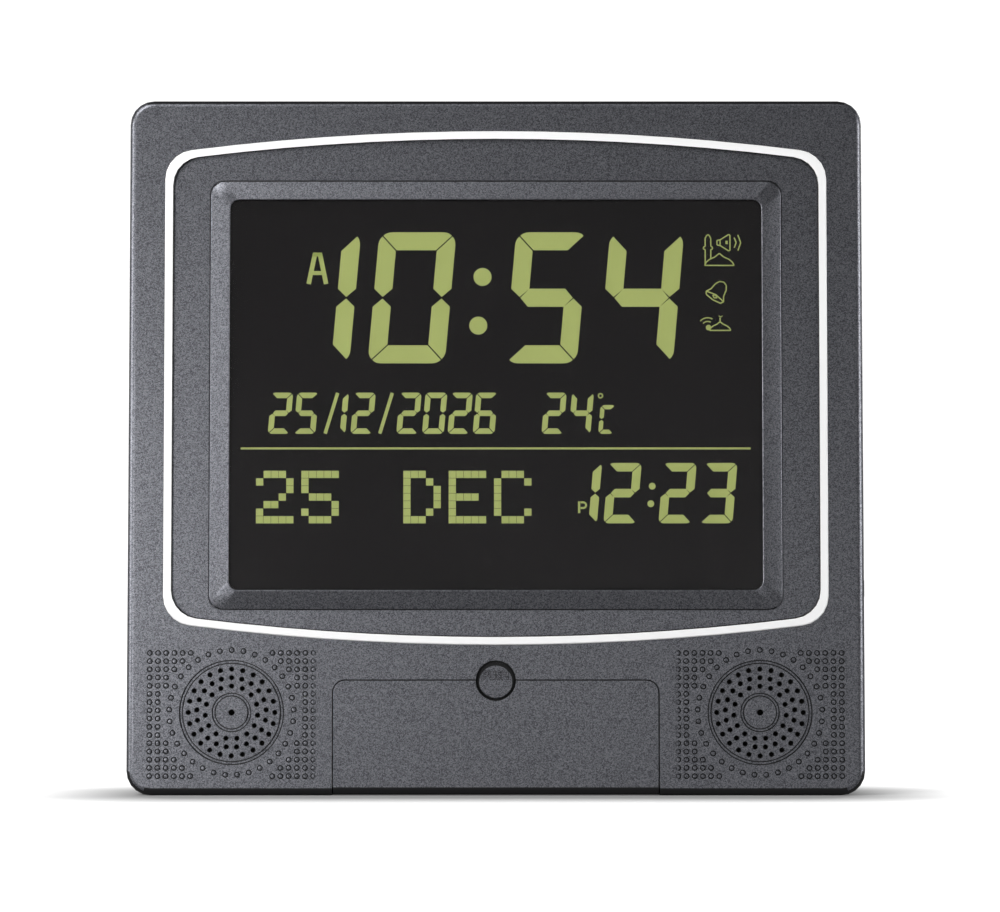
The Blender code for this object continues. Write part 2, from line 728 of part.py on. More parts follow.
def make_display(clear, glass, diffuser, rubber):
    """Lens, LCD glass, backlight panel and the two rubber strips that join the glass to the board."""
    new_object("display_lens", loft_of([bezel_loop(LENS_INSET, y) for y in (LENS_FRONT, LENS_BACK)]), clear)
    new_object("lcd_panel", loft_of([bezel_loop(LENS_INSET, y) for y in (LCD_FRONT, LCD_BACK)]), glass)
    half_width = BEZEL_HALF_WIDTH - LENS_INSET - FIT
    reach = BEZEL_HALF_HEIGHT - LENS_INSET
    light_reach = reach - ZEBRA_WIDTH - FIT
    low = (-half_width, ZEBRA_FRONT, DISPLAY_Z - light_reach)
    new_object("backlight_panel", box_of(low, (half_width, ZEBRA_BACK, DISPLAY_Z + light_reach)), diffuser)
    for name, start in (("zebra_strip_top", reach - ZEBRA_WIDTH), ("zebra_strip_bottom", -reach)):
        low = (-half_width, ZEBRA_FRONT, DISPLAY_Z + start)
        high = (half_width, ZEBRA_BACK, DISPLAY_Z + start + ZEBRA_WIDTH)
        new_object(name, box_of(low, high), rubber)


def make_main_board(laminate, epoxy, steel):
    low = (-BOARD_HALF_WIDTH, BOARD_FRONT, DISPLAY_Z - BOARD_HALF_HEIGHT)
    board = new_object(
        "main_board", box_of(low, (BOARD_HALF_WIDTH, BOARD_BACK, DISPLAY_Z + BOARD_HALF_HEIGHT)), laminate
    )
    holes = bmesh.new()
    for point in board_screw_points():
        run = (BOARD_FRONT - OVERRUN, BOARD_BACK + OVERRUN)
        add_turned(holes, [(BOARD_HOLE_RADIUS, y) for y in run], point)
    cut(board, tool("board_holes", holes))
    chip_front = BOARD_BACK + FIT
    chips = (("main_chip", MAIN_CHIP_SIZE, -CHIP_OFFSET), ("voice_chip", VOICE_CHIP_SIZE, CHIP_OFFSET))
    for name, size, x in chips:
        low = (x - size / 2, chip_front, DISPLAY_Z - size / 2)
        high = (x + size / 2, chip_front + CHIP_HEIGHT, DISPLAY_Z + size / 2)
        new_object(name, box_of(low, high), epoxy)
    crystal_centre = (chip_front + CRYSTAL_RADIUS, DISPLAY_Z + MAIN_CHIP_SIZE)
    start = -CHIP_OFFSET - CRYSTAL_LENGTH / 2
    section = ((CRYSTAL_RADIUS, start), (CRYSTAL_RADIUS, start + CRYSTAL_LENGTH))
    new_object("crystal", turned_of(section, crystal_centre, axis="X"), steel)
    sensor_centre = (chip_front + SENSOR_RADIUS, DISPLAY_Z - BOARD_HALF_HEIGHT + SENSOR_RADIUS)
    section = (
        (SENSOR_RADIUS / 2, -SENSOR_LENGTH / 2),
        (SENSOR_RADIUS, -SENSOR_LENGTH / 4),
        (SENSOR_RADIUS, SENSOR_LENGTH / 4),
        (SENSOR_RADIUS / 2, SENSOR_LENGTH / 2),
    )
    new_object("temperature_sensor", turned_of(section, sensor_centre, axis="X"), epoxy)


def make_key_board(laminate):
    """Board with a tact switch behind each key and behind the button."""
    low = (-KEY_BOARD_HALF_WIDTH, KEY_BOARD_FRONT, KEY_BOARD_LOW)
    high = (KEY_BOARD_HALF_WIDTH, KEY_BOARD_BACK, KEY_BOARD_HIGH)
    board = new_object("key_board", box_of(low, high), laminate)
    switches = bmesh.new()
    half = SWITCH_SIZE / 2
    for x, z in key_points() + [(0, DOOR_TOP)]:
        add_box(switches, (x - half, SWITCH_FRONT, z - half), (x + half, KEY_BOARD_FRONT + JOIN, z + half))
    join(board, tool("tact_switches", switches))
    holes = bmesh.new()
    for point in key_screw_points():
        run = (KEY_BOARD_FRONT - OVERRUN, KEY_BOARD_BACK + OVERRUN)
        add_turned(holes, [(BOARD_HOLE_RADIUS, y) for y in run], point)
    cut(board, tool("key_board_holes", holes))


def make_speakers(steel, paper, ferrite):
    """Each loudspeaker: a pressed frame that sits in the rib, a paper cone with a dust cap, a magnet."""
    rim = INNER_FRONT + FIT
    rim_back = rim + SPEAKER_RIM_THICKNESS
    back = rim + SPEAKER_DEPTH
    for name, x in speaker_points():
        centre = (x, SPEAKER_Z)
        bore = SPEAKER_RADIUS - SPEAKER_RIM
        frame = (
            (SPEAKER_RADIUS, rim),
            (SPEAKER_RADIUS, rim_back),
            (bore + SPEAKER_SHEET, rim_back),
            (SPEAKER_NECK + SPEAKER_SHEET, back),
            (DUST_CAP_RADIUS, back),
            (DUST_CAP_RADIUS, back - SPEAKER_SHEET),
            (SPEAKER_NECK, back - SPEAKER_SHEET),
            (bore, rim_back - SPEAKER_SHEET),
            (bore, rim),
        )
        new_object("speaker_frame_" + name, turned_of(frame, centre, steps=SPEAKER_STEPS, ring=True), steel)
        edge = bore - FIT
        cone_back = back - SPEAKER_SHEET - FIT - CONE_THICKNESS
        cone = (
            (DUST_CAP_RADIUS / 3, cone_back - 3 * CONE_THICKNESS),
            (DUST_CAP_RADIUS * 2 / 3, cone_back - 2 * CONE_THICKNESS),
            (DUST_CAP_RADIUS, cone_back),
            (edge - 2 * CONE_THICKNESS, rim),
            (edge, rim),
            (edge, rim + CONE_THICKNESS),
            (DUST_CAP_RADIUS + CONE_THICKNESS, cone_back + CONE_THICKNESS),
        )
        new_object("speaker_cone_" + name, turned_of(cone, centre, steps=SPEAKER_STEPS), paper)
        magnet_front = back + FIT
        magnet = ((MAGNET_RADIUS, magnet_front), (MAGNET_RADIUS, magnet_front + MAGNET_DEPTH))
        new_object("speaker_magnet_" + name, turned_of(magnet, centre, steps=SPEAKER_STEPS), ferrite)


# Flap: follows the case's front and its lower edge, turns on two stub pins at its foot
def make_door(plastic):
    foot = FIT
    centre_y = FRONT + FRONT_EDGE
    centre_z = foot + FRONT_EDGE
    inner = FRONT_EDGE - DOOR_THICKNESS
    outside = [(FRONT, DOOR_TOP)]
    inside = [(FRONT + DOOR_THICKNESS, DOOR_TOP)]
    for turn in quarter(EDGE_STEPS):
        outside.append((centre_y - FRONT_EDGE * math.cos(turn), centre_z - FRONT_EDGE * math.sin(turn)))
        inside.append((centre_y - inner * math.cos(turn), centre_z - inner * math.sin(turn)))
    outside.append((HINGE_Y, foot))
    inside.append((HINGE_Y, foot + DOOR_THICKNESS))
    profile = outside + inside[::-1]
    loops = [[(x, y, z) for y, z in profile] for x in (-DOOR_HALF_WIDTH, DOOR_HALF_WIDTH)]
    door = new_object("keypad_door", loft_of(loops), plastic)
    set_origin(door, (0, HINGE_Y, HINGE_HEIGHT))
    combine(door, "INTERSECT", tool("door_trim", door_outline(0, FRONT - OVERRUN, BAY_FLOOR)))
    arms = bmesh.new()
    hubs = bmesh.new()
    for _, sign in SIDES:
        ends = sorted((sign * (EAR_END - EAR_THICKNESS), sign * EAR_END))
        front = FRONT + DOOR_THICKNESS - JOIN
        low = (ends[0], front, HINGE_HEIGHT - EAR_RADIUS)
        add_box(arms, low, (ends[1], HINGE_Y, HINGE_HEIGHT + EAR_RADIUS))
        root = EAR_END - EAR_THICKNESS
        tip = EAR_END + PIN_LENGTH
        section = (
            (EAR_RADIUS, sign * root),
            (EAR_RADIUS, sign * EAR_END),
            (PIN_RADIUS, sign * EAR_END),
            (PIN_RADIUS, sign * tip),
        )
        add_turned(hubs, section, (HINGE_Y, HINGE_HEIGHT), axis="X", steps=POST_STEPS)
    join(door, tool("door_arms", arms))
    join(door, tool("door_hubs", hubs))
    section = [(BUTTON_HOLE_RADIUS, y) for y in (FRONT - OVERRUN, TUBE_FRONT)]
    cut(door, tool("button_notch", turned_of(section, (0, DOOR_TOP), steps=DISC_STEPS)))


def make_button(plastic, steel):
    """Round button with its flange behind the tube's lip, and the coil spring behind the flange."""
    face = FRONT + BUTTON_SUNK
    shoulder_back = BUTTON_SHOULDER + BUTTON_FLANGE
    stem_end = SWITCH_FRONT - BUTTON_TRAVEL - SWITCH_GAP
    profile = (
        (BUTTON_RADIUS - BUTTON_CHAMFER, face),
        (BUTTON_RADIUS, face + BUTTON_CHAMFER),
        (BUTTON_RADIUS, BUTTON_SHOULDER),
        (BUTTON_FLANGE_RADIUS, BUTTON_SHOULDER),
        (BUTTON_FLANGE_RADIUS, shoulder_back),
        (BUTTON_STEM_RADIUS, shoulder_back),
        (BUTTON_STEM_RADIUS, stem_end),
    )
    button = new_object("push_button", turned_of(profile, (0, DOOR_TOP), steps=DISC_STEPS), plastic)
    set_origin(button, (0, face, DOOR_TOP))
    start = shoulder_back + FIT + SPRING_WIRE_RADIUS
    end = TUBE_FLOOR - FIT - SPRING_WIRE_RADIUS
    turns = coil_points(SPRING_TURNS, SPRING_RADIUS, SPRING_RADIUS, start, end)
    points = [(across, along, DOOR_TOP + up) for along, across, up in turns]
    coil("push_spring", points, SPRING_WIRE_RADIUS, steel)


def coil_points(turns, first_radius, last_radius, start, end):
    """Points of a coil along an axis, as distance along it and two distances across it."""
    count = turns * COIL_STEPS
    points = []
    for step in range(count + 1):
        share = step / count
        angle = 2 * math.pi * step / COIL_STEPS
        radius = first_radius + (last_radius - first_radius) * share
        along = start + (end - start) * share
        points.append((along, radius * math.cos(angle), radius * math.sin(angle)))
    return points


def coil(name, points, wire_radius, finish):
    """A wound wire as one unbroken tube. Prints the least gap between one turn and the next."""
    curve = bpy.data.curves.new(name, "CURVE")
    curve.dimensions = "3D"
    curve.bevel_depth = wire_radius
    curve.bevel_resolution = 1
    curve.use_fill_caps = True
    spline = curve.splines.new("POLY")
    spline.points.add(len(points) - 1)
    for place, point in zip(spline.points, points):
        place.co = (*point, 1)
    curve.materials.append(finish)
    bpy.context.scene.collection.objects.link(bpy.data.objects.new(name, curve))
    places = [Vector(point) for point in points]
    apart = COIL_STEPS // 2
    least = min((a - b).length for i, a in enumerate(places) for b in places[i + apart :])
    print(name, "least gap to itself, mm:", round((least - 2 * wire_radius) * 1000, 3))


def make_keys(rubber):
    """Eight small key caps, each with a flange behind the bay's floor and a stem to its switch."""
    flange_back = BAY_BACK + FIT + KEY_FLANGE
    stem_end = SWITCH_FRONT - KEY_TRAVEL - SWITCH_GAP
    face = BAY_FLOOR - KEY_RISE
    for index, (x, z) in enumerate(key_points()):
        section = (
            (KEY_HALF_WIDTH - KEY_CHAMFER, KEY_HALF_HEIGHT - KEY_CHAMFER, KEY_CORNER - KEY_CHAMFER, face),
            (KEY_HALF_WIDTH, KEY_HALF_HEIGHT, KEY_CORNER, face + KEY_CHAMFER),
            (KEY_HALF_WIDTH, KEY_HALF_HEIGHT, KEY_CORNER, BAY_BACK + FIT),
            (KEY_HALF_WIDTH + KEY_FLANGE, KEY_HALF_HEIGHT + KEY_FLANGE, KEY_CORNER, BAY_BACK + FIT),
            (KEY_HALF_WIDTH + KEY_FLANGE, KEY_HALF_HEIGHT + KEY_FLANGE, KEY_CORNER, flange_back),
            (KEY_STEM, KEY_STEM, KEY_STEM / 2, flange_back),
            (KEY_STEM, KEY_STEM, KEY_STEM / 2, stem_end),
        )
        loops = [rounded_loop(wide, tall, corner, y, x, z, KEY_STEPS) for wide, tall, corner, y in section]
        key = new_object(f"key_cap_{index + 1}", loft_of(loops), rubber)
        set_origin(key, (x, face, z))


def make_volume_slide(plastic, steel):
    """Knob in its slot in the right wall, and the slide switch that it moves."""
    tip = CASE_WIDTH / 2 + KNOB_PROUD
    foot = SIDE_INNER - KNOB_FOOT
    half_width = KNOB_WIDTH / 2
    low = (foot, KNOB_Y - half_width, KNOB_LOW)
    high = (tip, KNOB_Y + half_width, KNOB_LOW + KNOB_LENGTH)
    knob = new_object("volume_knob", box_of(low, high), plastic)
    set_origin(knob, (CASE_WIDTH / 2, KNOB_Y, KNOB_Z))
    middle_z = KNOB_Z - KNOB_TRAVEL / 2
    body_back = SIDE_INNER - FIT
    low = (body_back - SLIDE_BODY_DEPTH, KNOB_Y - SLIDE_BODY_WIDTH / 2, middle_z - SLIDE_BODY_LENGTH / 2)
    high = (body_back, KNOB_Y + SLIDE_BODY_WIDTH / 2, middle_z + SLIDE_BODY_LENGTH / 2)
    body = new_object("volume_switch", box_of(low, high), steel)
    low = (foot - FIT, KNOB_Y - half_width - FIT, KNOB_LOW - KNOB_TRAVEL - FIT)
    high = (body_back + OVERRUN, KNOB_Y + half_width + FIT, KNOB_LOW + KNOB_LENGTH + FIT)
    cut(body, tool("slide_channel", box_of(low, high)))


# Rear case: the back shell with its lip, screw posts, battery bay, stand recess and hanging slots
def make_rear_case(plastic):
    outside = [case_loop(inset, REAR - advance) for inset, advance in edge_round(REAR_EDGE)]
    case = new_object("rear_case", loft_of(outside + rear_rim() + [case_loop(WALL, INNER_REAR)]), plastic)
    join(case, tool("rear_posts", rear_posts()))
    join(case, tool("battery_block", battery_block()))
    join(case, tool("stand_block", stand_block()))
    scoop_front = STAND_FRONT - STAND_FLOOR + JOIN
    join(case, tool("scoop_block", scoop(SCOOP_RADIUS + WALL, scoop_front, INNER_REAR + JOIN)))
    cut(case, tool("battery_cutter", battery_cutter()))
    cut(case, tool("stand_cutter", stand_cutter()))
    cut(case, tool("scoop_cutter", scoop(SCOOP_RADIUS, STAND_FRONT + JOIN, REAR + OVERRUN)))
    cut(case, tool("stand_sockets", stand_pins(FIT)))
    cut(case, tool("hanging_heads", hanging_heads()))
    cut(case, tool("hanging_slots", hanging_slots()))
    cut(case, tool("rear_screw_holes", rear_screw_holes()))


def rear_rim():
    """The rim, with the lip that enters the front case and its foot on the inside of the wall."""
    outer = WALL + FIT
    inner = outer + LIP_THICKNESS
    root = SPLIT + LIP_FOOT
    section = (
        (0, SPLIT + FIT / 2),
        (outer, SPLIT + FIT / 2),
        (outer, SPLIT - LIP_DEPTH),
        (inner, SPLIT - LIP_DEPTH),
        (inner, root),
        (WALL, root),
    )
    return [case_loop(inset, y) for inset, y in section]


def rear_posts():
    shape = bmesh.new()
    for point in case_screw_points():
        section = ((REAR_POST_RADIUS, SPLIT + FIT / 2), (REAR_POST_RADIUS, INNER_REAR + JOIN))
        add_turned(shape, section, point)
    return shape


def rear_screw_holes():
    shape = bmesh.new()
    for point in case_screw_points():
        section = (
            (SCREW_HOLE_RADIUS, SPLIT - OVERRUN),
            (SCREW_HOLE_RADIUS, REAR - SCREW_SINK),
            (SCREW_HEAD_RADIUS + FIT, REAR - SCREW_SINK),
            (SCREW_HEAD_RADIUS + FIT, REAR + OVERRUN),
        )
        add_turned(shape, section, point, steps=POST_STEPS)
    return shape


def battery_block():
    half_length = BATTERY_HALF_LENGTH + BATTERY_WALL
    half_height = BATTERY_HALF_HEIGHT + BATTERY_WALL
    low = (BATTERY_X - half_length, BATTERY_FLOOR - BATTERY_WALL, BATTERY_Z - half_height)
    return box_of(low, (BATTERY_X + half_length, INNER_REAR + JOIN, BATTERY_Z + half_height))


def battery_loop(margin, depth):
    """The bay's outline, widened by a margin, with the door's corner radius growing with it."""
    sides = (BATTERY_HALF_LENGTH + margin, BATTERY_HALF_HEIGHT + margin, LID_CORNER + margin)
    return rounded_loop(*sides, depth, BATTERY_X, BATTERY_Z, EDGE_STEPS)


def battery_cutter():
    """Pocket for the cells, and the wider rebate that the door lies in."""
    ledge = LID_FRONT - FIT
    rebate = BATTERY_LEDGE + FIT
    section = ((0, BATTERY_FLOOR), (0, ledge), (rebate, ledge), (rebate, REAR + OVERRUN))
    return loft_of([battery_loop(margin, y) for margin, y in section])


def stand_block():
    half_width = STAND_HALF_WIDTH + STAND_SIDE_GAP + WALL
    low = (-half_width, STAND_FRONT - STAND_FLOOR, STAND_LOW - STAND_SIDE_GAP - WALL)
    return box_of(low, (half_width, INNER_REAR + JOIN, STAND_AXIS_Z + STAND_THICKNESS + WALL))


def stand_cutter():
    half_width = STAND_HALF_WIDTH + STAND_SIDE_GAP
    low = (-half_width, STAND_FRONT, STAND_LOW - STAND_SIDE_GAP)
    return box_of(low, (half_width, REAR + OVERRUN, STAND_AXIS_Z + STAND_THICKNESS / 2 + STAND_SIDE_GAP))


def scoop(radius, front, back):
    """Round hollow beside the stand, for a fingertip."""
    centre = (-STAND_HALF_WIDTH, SCOOP_Z)
    return turned_of(((radius, front), (radius, back)), centre, steps=DISC_STEPS)


def stand_pins(gap):
    shape = bmesh.new()
    for _, sign in SIDES:
        start = STAND_HALF_WIDTH - STAND_SIDE_GAP
        tip = STAND_HALF_WIDTH + STAND_PIN_LENGTH + gap
        section = ((STAND_PIN_RADIUS + gap, sign * start), (STAND_PIN_RADIUS + gap, sign * tip))
        add_turned(shape, section, (STAND_Y, STAND_AXIS_Z), axis="X")
    return shape


def hanging_heads():
    shape = bmesh.new()
    for _, sign in SIDES:
        section = ((HANG_HEAD_RADIUS, INNER_REAR - OVERRUN), (HANG_HEAD_RADIUS, REAR + OVERRUN))
        add_turned(shape, section, (sign * HANG_X, HANG_Z), steps=DISC_STEPS)
    return shape


def hanging_slots():
    shape = bmesh.new()
    half_height = HANG_SLOT_LENGTH / 2 + HANG_SLOT_RADIUS / 2
    sides = (HANG_SLOT_RADIUS, half_height, HANG_SLOT_CORNER)
    run = (INNER_REAR - OVERRUN, REAR + OVERRUN)
    for _, sign in SIDES:
        centre = (sign * HANG_X, HANG_Z + half_height)
        add_loft(shape, [rounded_loop(*sides, y, *centre, EDGE_STEPS) for y in run])
    return shape


def make_battery_lid(plastic):
    """Lift-off door of the battery bay, with grip grooves near its top edge."""
    plate = loft_of([battery_loop(BATTERY_LEDGE, y) for y in (LID_FRONT, REAR)])
    lid = new_object("battery_door", plate, plastic)
    set_origin(lid, (BATTERY_X, LID_FRONT, BATTERY_Z))
    grooves = bmesh.new()
    top = BATTERY_HIGH + BATTERY_LEDGE - GRIP_FROM_EDGE
    for index in range(GRIP_COUNT):
        z = top - index * GRIP_PITCH
        low = (BATTERY_X - GRIP_HALF_LENGTH, REAR - GRIP_DEPTH, z - GRIP_WIDTH / 2)
        add_box(grooves, low, (BATTERY_X + GRIP_HALF_LENGTH, REAR + OVERRUN, z + GRIP_WIDTH / 2))
    cut(lid, tool("grip_grooves", grooves))


def make_cells(sleeve, steel):
    """Four AA cells side by side, every second one turned round, with a spring at each flat end."""
    inner_left = BATTERY_X - BATTERY_HALF_LENGTH
    inner_right = BATTERY_X + BATTERY_HALF_LENGTH
    for index in range(CELL_COUNT):
        forward = index % 2 == 0
        origin = inner_right - CELL_SEAT if forward else inner_left + CELL_SEAT
        sense = -1 if forward else 1
        centre = (CELL_Y, cell_height(index))
        body = CELL_RADIUS - CELL_EDGE
        profile = (
            (CELL_NUB_RADIUS, 0),
            (CELL_NUB_RADIUS, CELL_NUB_LENGTH),
            (body, CELL_NUB_LENGTH),
            (CELL_RADIUS, CELL_NUB_LENGTH + CELL_EDGE),
            (CELL_RADIUS, CELL_LENGTH - CELL_EDGE),
            (body, CELL_LENGTH),
        )
        section = [(radius, origin + sense * along) for radius, along in profile]
        new_object(f"battery_cell_{index + 1}", turned_of(section, centre, "X", POST_STEPS), sleeve)
        start = origin + sense * (CELL_LENGTH + FIT + CELL_SPRING_WIRE)
        far_wall = inner_left + CELL_SEAT if forward else inner_right - CELL_SEAT
        end = far_wall - sense * CELL_SPRING_WIRE
        turns = coil_points(CELL_SPRING_TURNS, CELL_SPRING_NARROW, CELL_SPRING_WIDE, start, end)
        points = [(along, CELL_Y + across, cell_height(index) + up) for along, across, up in turns]
        coil(f"battery_spring_{index + 1}", points, CELL_SPRING_WIRE, steel)


def make_contacts(steel):
    """Nickel plates that link the cells in series, two on the left wall and three on the right one."""
    left = BATTERY_X - BATTERY_HALF_LENGTH + FIT
    right = BATTERY_X + BATTERY_HALF_LENGTH - FIT - CONTACT_THICKNESS
    places = (
        ("contact_link_lower", left, 0, 1),
        ("contact_link_upper", left, 2, 3),
        ("contact_plus", right, 0, 0),
        ("contact_link_middle", right, 1, 2),
        ("contact_minus", right, 3, 3),
    )
    for name, x, first, last in places:
        low = (x, CELL_Y - CONTACT_HALF_DEPTH, cell_height(first) - CONTACT_HALF_WIDTH)
        high = (x + CONTACT_THICKNESS, CELL_Y + CONTACT_HALF_DEPTH, cell_height(last) + CONTACT_HALF_WIDTH)
        new_object(name, box_of(low, high), steel)


# Stand: a plate that lies in the back's recess and turns on two pins at its upper edge
def make_stand(plastic):
    radius = STAND_THICKNESS / 2
    profile = [(STAND_Y + radius, STAND_LOW), (STAND_Y - radius, STAND_LOW)]
    for step in range(2 * EDGE_STEPS + 1):
        angle = math.pi - math.pi * step / (2 * EDGE_STEPS)
        profile.append((STAND_Y + radius * math.cos(angle), STAND_AXIS_Z + radius * math.sin(angle)))
    loops = [[(x, y, z) for y, z in profile] for x in (-STAND_HALF_WIDTH, STAND_HALF_WIDTH)]
    leg = new_object("stand_leg", loft_of(loops), plastic)
    set_origin(leg, (0, STAND_Y, STAND_AXIS_Z))
    top = STAND_AXIS_Z + STAND_THICKNESS + STAND_CORNER
    half_height = (top - STAND_LOW) / 2
    run = (STAND_FRONT, REAR + OVERRUN)
    trim = [
        rounded_loop(STAND_HALF_WIDTH, half_height, STAND_CORNER, y, 0, STAND_LOW + half_height) for y in run
    ]
    combine(leg, "INTERSECT", tool("stand_trim", loft_of(trim)))
    half_height = (STAND_AXIS_Z - STAND_THICKNESS - STAND_LOW) / 2 - STAND_RIM
    centre_z = STAND_LOW + STAND_RIM + half_height
    run = (STAND_Y - radius - OVERRUN, STAND_Y + radius - STAND_PANEL)
    sides = (STAND_HALF_WIDTH - STAND_RIM, half_height, STAND_CORNER - STAND_RIM)
    cut(leg, tool("stand_panel", loft_of([rounded_loop(*sides, y, 0, centre_z) for y in run])))
    join(leg, tool("stand_stubs", stand_pins(0)))


def make_screws(steel):
    """Slotted case screws from the back, and the plain screws of the two boards."""
    for index, point in enumerate(case_screw_points()):
        under = REAR - SCREW_SINK + FIT
        name = f"case_screw_{index + 1}"
        piece = screw(name, point, under, CASE_SCREW_LENGTH, CASE_SCREW_RADIUS, SCREW_HEAD_RADIUS, steel)
        top = under + SCREW_HEAD_HEIGHT
        half = SCREW_SLOT_WIDTH / 2
        reach = SCREW_HEAD_RADIUS + OVERRUN
        low = (point[0] - reach, top - SCREW_SLOT_DEPTH, point[1] - half)
        cut(piece, tool(name + "_slot", box_of(low, (point[0] + reach, top + OVERRUN, point[1] + half))))
    for index, point in enumerate(board_screw_points()):
        under = BOARD_BACK + FIT
        name = f"board_screw_{index + 1}"
        screw(name, point, under, BOARD_SCREW_LENGTH, BOARD_SCREW_RADIUS, BOARD_SCREW_HEAD, steel)
    for index, point in enumerate(key_screw_points()):
        under = KEY_BOARD_BACK + FIT
        name = f"key_board_screw_{index + 1}"
        screw(name, point, under, BOARD_SCREW_LENGTH, BOARD_SCREW_RADIUS, BOARD_SCREW_HEAD, steel)


def screw(name, point, under, length, radius, head_radius, finish):
    top = under + SCREW_HEAD_HEIGHT
    profile = ((radius, under - length), (radius, under), (head_radius, under), (head_radius, top))
    return new_object(name, turned_of(profile, point), finish)


def main():
    clear_scene()
    grey_shell = look("graphite_shell", (0.085, 0.087, 0.098), 0.45, 0.3)
    grey_bezel = look("graphite_bezel", (0.11, 0.112, 0.125), 0.4, 0.3)
    chrome = look("bright_trim", (0.9, 0.9, 0.9), 0.12, 1.0)
    clear = look("clear_lens", (0.02, 0.018, 0.018), 0.05)
    glass = look("display_glass", (0.014, 0.011, 0.011), 0.1)
    diffuser = look("white_diffuser", (0.8, 0.8, 0.78), 0.5)
    rubber = look("dark_rubber", (0.03, 0.03, 0.032), 0.8)
    laminate = look("board_laminate", (0.02, 0.12, 0.04), 0.5)
    epoxy = look("black_epoxy", (0.01, 0.01, 0.01), 0.4)
    steel = look("plated_steel", (0.6, 0.6, 0.62), 0.3, 1.0)
    paper = look("cone_paper", (0.03, 0.03, 0.03), 0.9)
    ferrite = look("ferrite", (0.05, 0.05, 0.055), 0.6)
    black = look("black_plastic", (0.012, 0.012, 0.012), 0.4)
    sleeve = look("cell_sleeve", (0.10, 0.16, 0.30), 0.35)
    make_front_case(grey_shell)
    make_trim_ring(chrome)
    make_bezel(grey_bezel)
    make_display(clear, glass, diffuser, rubber)
    make_main_board(laminate, epoxy, steel)
    make_key_board(laminate)
    make_speakers(steel, paper, ferrite)
    make_door(grey_shell)
    make_button(grey_shell, steel)
    make_keys(rubber)
    make_volume_slide(black, steel)
    make_rear_case(black)
    make_battery_lid(black)
    make_cells(sleeve, steel)
    make_contacts(steel)
    make_stand(black)
    make_screws(steel)


main()
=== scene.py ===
import math

import bpy
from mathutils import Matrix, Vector


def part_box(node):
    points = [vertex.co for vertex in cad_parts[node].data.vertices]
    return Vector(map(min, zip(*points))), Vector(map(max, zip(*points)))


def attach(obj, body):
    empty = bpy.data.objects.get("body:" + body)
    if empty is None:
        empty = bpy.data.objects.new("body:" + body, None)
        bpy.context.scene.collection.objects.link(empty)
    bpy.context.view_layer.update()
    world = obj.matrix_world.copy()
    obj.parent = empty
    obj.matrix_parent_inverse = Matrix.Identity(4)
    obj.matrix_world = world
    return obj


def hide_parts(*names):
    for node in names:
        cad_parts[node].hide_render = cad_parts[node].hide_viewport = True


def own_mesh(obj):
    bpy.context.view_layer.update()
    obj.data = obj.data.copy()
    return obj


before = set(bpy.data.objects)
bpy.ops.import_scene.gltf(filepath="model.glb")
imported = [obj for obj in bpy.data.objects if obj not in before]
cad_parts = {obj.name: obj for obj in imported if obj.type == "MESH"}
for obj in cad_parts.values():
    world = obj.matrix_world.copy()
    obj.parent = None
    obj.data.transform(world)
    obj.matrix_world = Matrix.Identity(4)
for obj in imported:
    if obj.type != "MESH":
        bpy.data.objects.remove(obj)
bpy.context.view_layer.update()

MM = 0.001

# Camera
# The clock was photographed with a long lens, square to its front, from a little below its middle.
# The scale is that of the front plane: so many pixels of the 1000 pixel wide picture to a metre.
IMAGE_WIDTH = 1000
SCALE = 2832
DISTANCE = 1.2
TILT = math.radians(3.38)
SENSOR = 36
CENTRE_LEFT = 4.2
CENTRE_UP = 10.2
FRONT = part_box("front_case")[0].y
aim = Vector((0, FRONT, 0.123))
lens_data = bpy.data.cameras.new("camera")
lens_data.sensor_width = SENSOR
lens_data.lens = SCALE * DISTANCE * SENSOR / IMAGE_WIDTH
lens_data.shift_x = CENTRE_LEFT / IMAGE_WIDTH
lens_data.shift_y = -CENTRE_UP / IMAGE_WIDTH
lens_data.clip_start = 0.05
camera = bpy.data.objects.new("camera", lens_data)
bpy.context.scene.collection.objects.link(camera)
camera.location = aim + DISTANCE * Vector((0, -math.cos(TILT), -math.sin(TILT)))
camera.rotation_euler = (math.pi / 2 + TILT, 0, 0)
bpy.context.scene.camera = camera
bpy.context.scene.view_settings.view_transform = "Standard"


# Floor and studio light
# A pale paper sweep under and behind the clock, a wide soft light beyond each side, a key light high on the left,
# weak ones above and low in front, and two behind the clock that light its back and not its face.
# The paper shows white to the camera, and keeps the clock's shadow. Near the clock's footprint its white lift fades
# out, which paints a shadow band round the foot.
def linear(code):
    """The linear colour of an sRGB hex value."""
    parts = [int(code[i : i + 2], 16) / 255 for i in (1, 3, 5)]
    return (*[p / 12.92 if p <= 0.04045 else ((p + 0.055) / 1.055) ** 2.4 for p in parts], 1)


def add_node(tree, kind, inputs=None, **settings):
    """Adds a shader node with its settings, its values and the links that feed it."""
    made = tree.nodes.new("ShaderNode" + kind)
    for name, value in settings.items():
        setattr(made, name, value)
    for name, value in (inputs or {}).items():
        if isinstance(value, bpy.types.NodeSocket):
            tree.links.new(value, made.inputs[name])
        else:
            made.inputs[name].default_value = value
    return made


